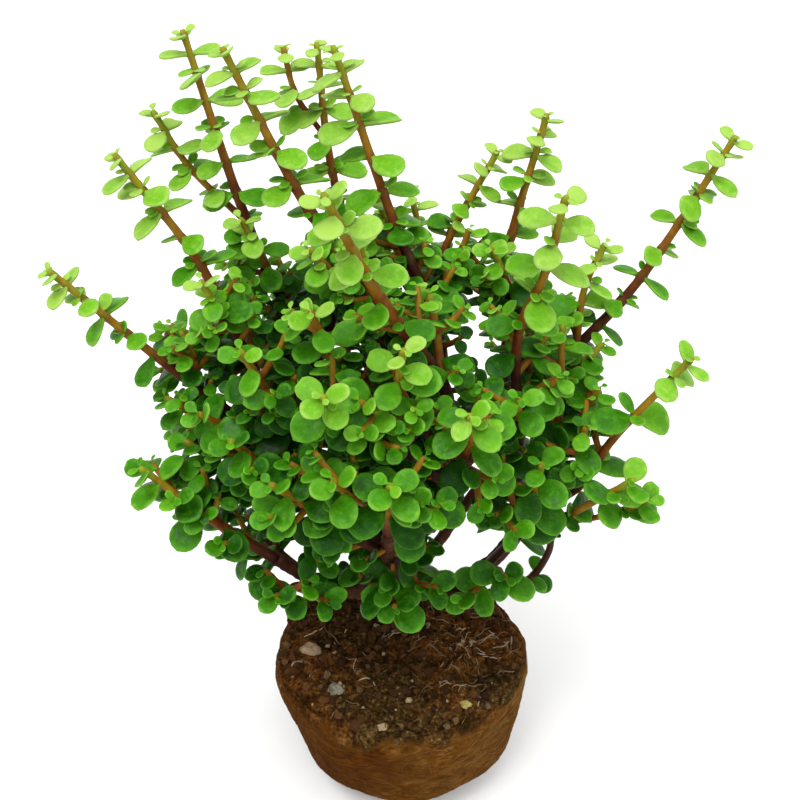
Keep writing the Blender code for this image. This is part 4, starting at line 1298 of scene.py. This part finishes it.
def build_bark(wood):
    """The trunk and limbs as one grown body with wrinkled bark."""
    shell = Shell()
    for name, limb in wood.items():
        rings = max(LEAST_RINGS, round(limb.length / BARK_RING))
        points = even(limb.curve, rings)
        radii = [limb.radius(k / rings) for k in range(rings + 1)]
        if name == "trunk":
            flare, height = BARK_FLARE
            radii = [radius + flare * math.exp(-max(0, point.z - BALL_HEIGHT) / height)
                     for radius, point in zip(radii, points)]
        corners = tube(points, headings(points, limb.face), radii, BARK_SIDES, limb.face.orthogonal())
        shell.add(corners, tube_faces(len(points), BARK_SIDES), (0, 0, 0, 1))
    piece = add_piece("trunk_bark", shell, paint_bark(), "trunk_and_limbs")
    join = piece.modifiers.new("join", "REMESH")
    join.mode = "VOXEL"
    join.voxel_size = BARK_VOXEL
    calm = piece.modifiers.new("calm", "SMOOTH")
    calm.iterations = BARK_SMOOTHING
    view = bpy.context.evaluated_depsgraph_get()
    mesh = bpy.data.meshes.new_from_object(piece.evaluated_get(view))
    piece.modifiers.clear()
    normals = [vert.normal.copy() for vert in mesh.vertices]
    tints = []
    for vert, normal in zip(mesh.vertices, normals):
        ridge = rough(vert.co, *BARK_ALONG)
        ring = rough(vert.co, *BARK_ROUND)
        vert.co += normal * BARK_WRINKLE * (ridge + BARK_ROUND_SHARE * ring)
        tints.append((0.5 + ridge * 0.5, 0, 0, 1))
    while mesh.color_attributes:
        mesh.color_attributes.remove(mesh.color_attributes[0])
    tint_mesh(mesh, tints)
    piece.data = mesh


def lumps(point, scale):
    """Rounded lumps: 1 on top of each, 0 in the cracks."""
    return 1 - min(1.0, noise.voronoi(point * scale)[0][0] * LUMP_STEEP)


def crust_edge(turn):
    """How far the soil crust hangs down the side at this turn."""
    where = round_about(turn)
    mean, wave, long, ripple, short = CRUST_EDGE
    return CRUST_DEPTH * (mean + wave * noise.noise(where * long) + ripple * noise.noise(where * short))


def side_skin(turn, height):
    """A point of the ball's skin, and its tint: G soil crust, B clods, A pale straw with painted light to
    the right and painted shadow low on the right.
    """
    point = side_point(turn, height)
    mat = rough(point, *MAT_LONG) + MAT_SHARE * rough(point, *MAT_SHORT)
    clod = lumps(point, SIDE_LUMPS)
    crust = clamp((height - BALL_HEIGHT + crust_edge(turn)) / CRUST_FADE)
    rim = max(0.0, 1 - (BALL_HEIGHT - height) / RIM_ROUND[0])
    foot = min(1.0, height / FOOT_CALM)
    push = (MAT_DEPTH * mat * MAT_SHARE + crust * CRUST_OVER * clod) * foot - RIM_ROUND[1] * rim * rim
    # Painted shadow low down on the right, and painted light that makes the side paler to the right.
    start, lean, over, most = LOW_RIGHT_SHADE
    low_right_shade = max(0.0, (point.x - start) * lean - point.z) / over
    mean, width, patches, scale = STRAW_AND_PAINTED_LIGHT
    straw_and_painted_light = mean + point.x / width + patches * noise.noise(point * scale) - min(low_right_shade, most)
    return point + round_about(turn) * push, (0, crust, clod, clamp(straw_and_painted_light))


def soil_skin(x, y):
    """Height of the crumbly soil, and its tint."""
    spot = Vector((x, y, 0))
    big = lumps(spot, CLODS[0])
    small = lumps(spot + CLOD_OFFSET, CLOD_PIECES[0])
    fine = noise.noise(spot * GRAINS[0])
    wave = noise.noise(spot * SWELLS[0])
    rise = (SWELLS[1] * wave + CLODS[1] * (big - CLODS[2]) + CLOD_PIECES[1] * (small - CLOD_PIECES[2])
            + GRAINS[1] * fine) * MM
    for (stone_x, stone_y), sizes, _, _ in STONES.values():
        away = math.hypot(x / MM - stone_x, y / MM - stone_y) / (STONE_CALM[0] * max(sizes))
        rise *= 1 - math.exp(-away ** STONE_CALM[1])
    least, curve = RIM_RELIEF
    calm = 1 - min(1.0, math.hypot(x, y) / side_radius(BALL_HEIGHT)) ** curve
    rise *= least + (1 - least) * calm
    pit_x, pit_y, width, depth = PIT
    pit = math.exp(-((x - pit_x) ** 2 + (y - pit_y) ** 2) / width ** 2) * depth
    return soil_height(x, y) + rise - pit, (0, 1, small, 1)


def build_ball(wood):
    """The root ball's matted side and crumbly top as one closed skin."""
    turns = [math.tau * s / SIDE_TURNS for s in range(SIDE_TURNS)]
    skin = [side_skin(turn, BALL_HEIGHT * k / SIDE_ROWS) for k in range(SIDE_ROWS + 1) for turn in turns]
    rim = [spot for spot, _ in skin[-SIDE_TURNS:]]
    trunk = wood["trunk"].at(0)
    centre = Vector((trunk.x, trunk.y, 0))
    for k in range(1, SOIL_ROWS + 1):
        blend = min(1.0, k / SOIL_BLEND_ROWS)
        for spot in rim:
            x, y, _ = spot.lerp(centre, k / SOIL_ROWS * SOIL_CENTRE)
            height, tint = soil_skin(x, y)
            skin.append((Vector((x, y, height * blend + spot.z * (1 - blend))), tint))
    shell = Shell()
    shell.add([point for point, _ in skin], tube_faces(len(skin) // SIDE_TURNS, SIDE_TURNS),
              [tint for _, tint in skin])
    add_piece("soil_and_roots", shell, paint_soil(), "root_ball")


def paint_soil():
    """Coir mat on the sides, paler to the right as painted light, and dark crumbly soil on the top."""
    paint = Paint("soil")
    _, crust, clod, straw_and_painted_light = paint.tint()
    patch = paint.noise(38, 5)
    fibre = paint.noise(150, 8, (1, 1, 1.9), 1.2)
    grit = paint.noise(700, 6)
    speck = paint.noise(420, 4)
    mat = paint.ramp(fibre, (0.3, (0.030, 0.008, 0.0006)), (0.46, (0.056, 0.017, 0.0013)),
                     (0.6, (0.078, 0.025, 0.002)), (0.78, (0.125, 0.048, 0.006)))
    straw = paint.ramp(fibre, (0.3, (0.070, 0.026, 0.0030)), (0.5, (0.115, 0.048, 0.007)),
                       (0.75, (0.22, 0.115, 0.030)))
    mat = paint.mix(straw_and_painted_light, mat, straw)
    mat = paint.cover(mat, patch, 0.4, 0.65, 0.5, (0.058, 0.019, 0.0022))
    mat = paint.cover(mat, speck, 0.58, 0.72, 0.6, (0.016, 0.006, 0.0012))
    earth = paint.ramp(grit, (0.3, (0.008, 0.004, 0.0006)), (0.48, (0.042, 0.022, 0.005)),
                       (0.62, (0.085, 0.052, 0.018)), (0.8, (0.27, 0.185, 0.095)))
    red = paint.ramp(grit, (0.3, (0.022, 0.007, 0.0012)), (0.5, (0.090, 0.032, 0.006)),
                     (0.75, (0.19, 0.085, 0.024)))
    earth = paint.cover(earth, patch, 0.42, 0.58, 1.0, red)
    # Near black in the cracks between clods: painted shade.
    earth = paint.mix(paint.span(clod, 0.0, 0.6, 0.75, 0.0), earth, (0.006, 0.003, 0.0008))
    paint.bump(paint.blend(grit, fibre, 0.5), 1.4 * MM, 0.9)
    colour = paint.mix(crust, mat, earth)
    return paint.done(colour, paint.span(grit, 0.3, 0.7, 0.75, 0.95), Specular_IOR_Level=0.015)


def strand(points, thick, sides):
    """Corners and faces of a thin closed strand along points, tapered to both ends."""
    aheads = [(b - a).normalized() for a, b in zip([points[0], *points], [*points[1:], points[-1]])]
    thin, more, start, end = STRAND_TAPER
    radii = [thick * (thin + more * math.sin(math.pi * (k + start) / (len(points) - end)))
             for k in range(len(points))]
    side = (points[1] - points[0]).orthogonal()
    return tube(points, aheads, radii, sides, side), tube_faces(len(points), sides)


def build_fibres():
    """Coir fibres and fine roots that lie on the ball's side."""
    draw = random.Random(LOOSE_SEED)
    shell = Shell()
    for _ in range(FIBRES):
        turn = draw.uniform(0, math.tau)
        height = draw.uniform(*FIBRE_HEIGHTS) * MM
        slope = draw.gauss(0, FIBRE_SLOPE)
        length = draw.uniform(*FIBRE_LENGTHS) * MM
        wave = draw.uniform(0, math.tau)
        lift = draw.uniform(*FIBRE_LIFTS) * MM
        points = []
        for k in range(FIBRE_STEPS + 1):
            part = k / FIBRE_STEPS
            along = (part - 0.5) * length
            level = height + along * math.sin(slope) + math.sin(wave + part * FIBRE_WAVE[0]) * FIBRE_WAVE[1]
            level = min(max(level, FIBRE_EDGES[0]), BALL_HEIGHT - FIBRE_EDGES[1])
            angle = turn + along * math.cos(slope) / FIBRE_ROUND
            points.append(side_skin(angle, level)[0] + round_about(angle) * lift)
        # Fibres are paler to the right: painted light from that side.
        straw_and_painted_light = clamp(STRAW_AND_PAINTED_LIGHT[0] + points[0].x / STRAW_AND_PAINTED_LIGHT[1])
        tone = min(1.0, FIBRE_TONE[0] * straw_and_painted_light + FIBRE_TONE[1] * draw.random() ** 2)
        shell.add(*strand(points, draw.uniform(*FIBRE_RADII) * MM, FIBRE_SIDES), (tone, 0, 0, 1))
    add_piece("coir_fibres", shell, paint_fibre(), "root_ball")


def build_roots():
    """Fine pale roots on the soil, most of them to the right and the back."""
    draw = random.Random(LOOSE_SEED + 1)
    shell = Shell()
    for index in range(ROOTS):
        if index % 4:
            x, y = [draw.gauss(*spread) * MM for spread in ROOT_RIGHT]
        else:
            x, y = [draw.uniform(*edges) * MM for edges in ROOT_WIDE]
        heading = draw.uniform(0, math.tau)
        points = []
        length = draw.uniform(*ROOT_LENGTHS) * MM
        for k in range(ROOT_STEPS + 1):
            if math.hypot(x, y) > ROOT_EDGE:
                break
            height, _ = soil_skin(x, y)
            arch = math.sin(math.pi * k / ROOT_STEPS) * ROOT_ARCH
            points.append(Vector((x, y, height + arch - ROOT_SUNK)))
            heading += draw.uniform(-ROOT_TURN, ROOT_TURN)
            x += math.cos(heading) * length / ROOT_STEPS
            y += math.sin(heading) * length / ROOT_STEPS
        if len(points) >= ROOT_LEAST_POINTS:
            thick = draw.uniform(*ROOT_RADII) * MM
            shell.add(*strand(points, thick, ROOT_SIDES), (draw.random(), 1, 0, 1))
    add_piece("root_strands", shell, paint_fibre(), "root_ball")


def paint_fibre():
    """Coir fibres and roots: from dark brown to tan, and pale where they are roots."""
    paint = Paint("fibre")
    tone, root, _, _ = paint.tint()
    patch = paint.noise(400, 4)
    coir = paint.ramp(tone, (0.0, (0.045, 0.015, 0.002)), (0.5, (0.12, 0.045, 0.007)),
                      (1.0, (0.31, 0.175, 0.06)))
    pale = paint.ramp(tone, (0.0, (0.09, 0.052, 0.024)), (0.6, (0.20, 0.135, 0.075)),
                      (1.0, (0.42, 0.32, 0.21)))
    colour = paint.mix(root, coir, pale)
    colour = paint.cover(colour, patch, 0.45, 0.75, 0.5, (0.09, 0.045, 0.028))
    paint.bump(patch, 0.2 * MM, 0.5)
    return paint.done(colour, paint.span(patch, 0.3, 0.7, 0.6, 0.9), Specular_IOR_Level=0.04)


def build_crumbs():
    """Loose crumbs of soil and a few pale grains on the top."""
    draw = random.Random(LOOSE_SEED + 2)
    shell = Shell()
    for index in range(CRUMBS):
        far = math.sqrt(draw.random()) * CRUMB_REACH * MM
        turn = draw.uniform(0, math.tau)
        x = far * math.cos(turn)
        y = far * math.sin(turn)
        height, _ = soil_skin(x, y)
        size = CRUMB_SIZES[0] + CRUMB_SIZES[1] * draw.random() ** 3
        sizes = [size * draw.uniform(*CRUMB_SPREAD) for _ in range(3)]
        middle = Vector((x, y, height + size * CRUMB_RISE * MM))
        pale = 1.0 if draw.random() < CRUMB_PALE else 0.0
        shell.add(*stone_shape(CRUMB_FIRST + index, middle, sizes), (draw.random(), pale, 0, 1))
    piece = add_piece("soil_crumbs", shell, paint_crumb(), "root_ball")
    piece.data.set_sharp_from_angle(angle=math.radians(CRUMB_CREASE))


def paint_crumb():
    """Crumbs: dark earth, and now and then a pale grain."""
    paint = Paint("crumb")
    tone, pale, _, _ = paint.tint()
    grit = paint.noise(900, 4)
    earth = paint.ramp(tone, (0.0, (0.012, 0.006, 0.002)), (0.5, (0.045, 0.020, 0.007)),
                       (0.8, (0.080, 0.032, 0.010)), (1.0, (0.12, 0.075, 0.035)))
    colour = paint.mix(pale, earth, (0.30, 0.22, 0.13))
    colour = paint.cover(colour, grit, 0.4, 0.7, 0.5, (0.04, 0.02, 0.013))
    paint.bump(grit, 0.3 * MM, 0.8)
    return paint.done(colour, paint.span(grit, 0.3, 0.7, 0.65, 0.95), Specular_IOR_Level=0.03)


def paint_stone(slot):
    """Rough grit with grains, and darker in its hollows."""
    paint = Paint(slot)
    dark, middle, light = STONE_COLOURS[slot]
    patch = paint.noise(330, 5)
    grain = paint.noise(1500, 4)
    colour = paint.ramp(patch, (0.3, dark), (0.5, middle), (0.72, light))
    colour = paint.cover(colour, grain, 0.5, 0.75, 0.5, dark)
    paint.bump(paint.blend(patch, grain, 0.6), 0.6 * MM, 0.8)
    return paint.done(colour, paint.span(grain, 0.3, 0.7, 0.6, 0.9), Specular_IOR_Level=0.15)


def build_stones():
    """The stones on the soil, worn at their edges and pitted."""
    paints = {slot: paint_stone(slot) for slot in STONE_COLOURS}
    for index, (name, (spot, sizes, rise, slot)) in enumerate(STONES.items()):
        middle = place((*spot, rise))
        middle.z += soil_height(middle.x, middle.y)
        corners, faces = stone_shape(index, middle, sizes)
        shape = bmesh.new()
        verts = [shape.verts.new(corner) for corner in corners]
        for face in faces:
            shape.faces.new([verts[corner] for corner in face])
        bmesh.ops.bevel(shape, geom=list(shape.edges), offset=STONE_EDGE, segments=2, affect="EDGES")
        bmesh.ops.triangulate(shape, faces=shape.faces)
        bmesh.ops.subdivide_edges(shape, edges=shape.edges, cuts=2, use_grid_fill=True)
        shape.normal_update()
        depth, scale = STONE_PITS
        for vert in shape.verts:
            vert.co += vert.normal * depth * noise.noise(vert.co * scale)
        shell = Shell()
        shell.add(*corners_and_faces(shape), (0, 0, 0, 1))
        add_piece(name + "_grit", shell, paints[slot], name)


def build_floor():
    """A pale floor that rises into a low wall all round."""
    bends = [0.5 * math.pi * k / COVE_STEPS for k in range(COVE_STEPS, -1, -1)]
    profile = [(COVE_FLOOR + COVE_BEND, COVE_WALL)]
    profile += [(COVE_FLOOR + COVE_BEND * math.sin(turn), COVE_BEND * (1 - math.cos(turn)))
                for turn in bends]
    turns = [math.tau * s / COVE_SIDES for s in range(COVE_SIDES)]
    corners = [round_about(turn, far, high + FLOOR_DROP) for far, high in profile for turn in turns]
    faces = tube_faces(len(profile), COVE_SIDES)[1:]
    mesh = bpy.data.meshes.new("floor")
    mesh.from_pydata([tuple(corner) for corner in corners], [], faces)
    mesh.shade_smooth()
    paint = Paint("floor")
    colour = paint.ramp(paint.noise(40, 3), *enumerate(FLOOR_COLOURS))
    mesh.materials.append(paint.done(colour, 0.9))
    add_object("floor", mesh)


def build_studio():
    """Floor, soft light and the camera."""
    scene = bpy.context.scene
    scene.view_settings.view_transform = "Standard"
    build_floor()
    scene.world = bpy.data.worlds.new("studio")
    scene.world.use_nodes = True
    sky = scene.world.node_tree.nodes["Background"].inputs
    sky["Color"].default_value = (1.0, 1.0, 1.0, 1)
    sky["Strength"].default_value = SKY_POWER
    for name, (origin, power, width) in LIGHTS.items():
        sun = bpy.data.lights.new(name, "SUN")
        sun.energy = power
        sun.angle = math.radians(width)
        add_object(name, sun).rotation_euler = Vector(origin).to_track_quat("Z", "Y").to_euler()
    camera = bpy.data.cameras.new("camera")
    camera.lens = CAMERA_LENS
    camera.sensor_width = CAMERA_SENSOR
    camera.clip_start = CAMERA_NEAR
    scene.camera = add_object("camera", camera)
    scene.camera.location = CAMERA_PLACE
    scene.camera.rotation_euler = (math.radians(CAMERA_TILT), 0, 0)


def main():
    """Grow the plant, dress it and set the studio."""
    room = Room()
    wood = grow_wood(room)
    stems, sets = grow_stems(wood, room)
    leaves = {name: grow_leaves(room, sets, name, row, random.Random(SEED + index), SOLID_PAIRS)
              for index, (name, row) in enumerate(stems.items())}
    grow_more_forks(room, stems, sets, leaves)
    grow_more_pairs(room, stems, sets, leaves)
    grow_spurs(room, wood, stems, leaves)
    grow_buds(room, leaves)
    build_shoots(stems, sets, leaves)
    build_bark(wood)
    build_ball(wood)
    build_fibres()
    build_roots()
    build_crumbs()
    build_stones()
    build_studio()


main()
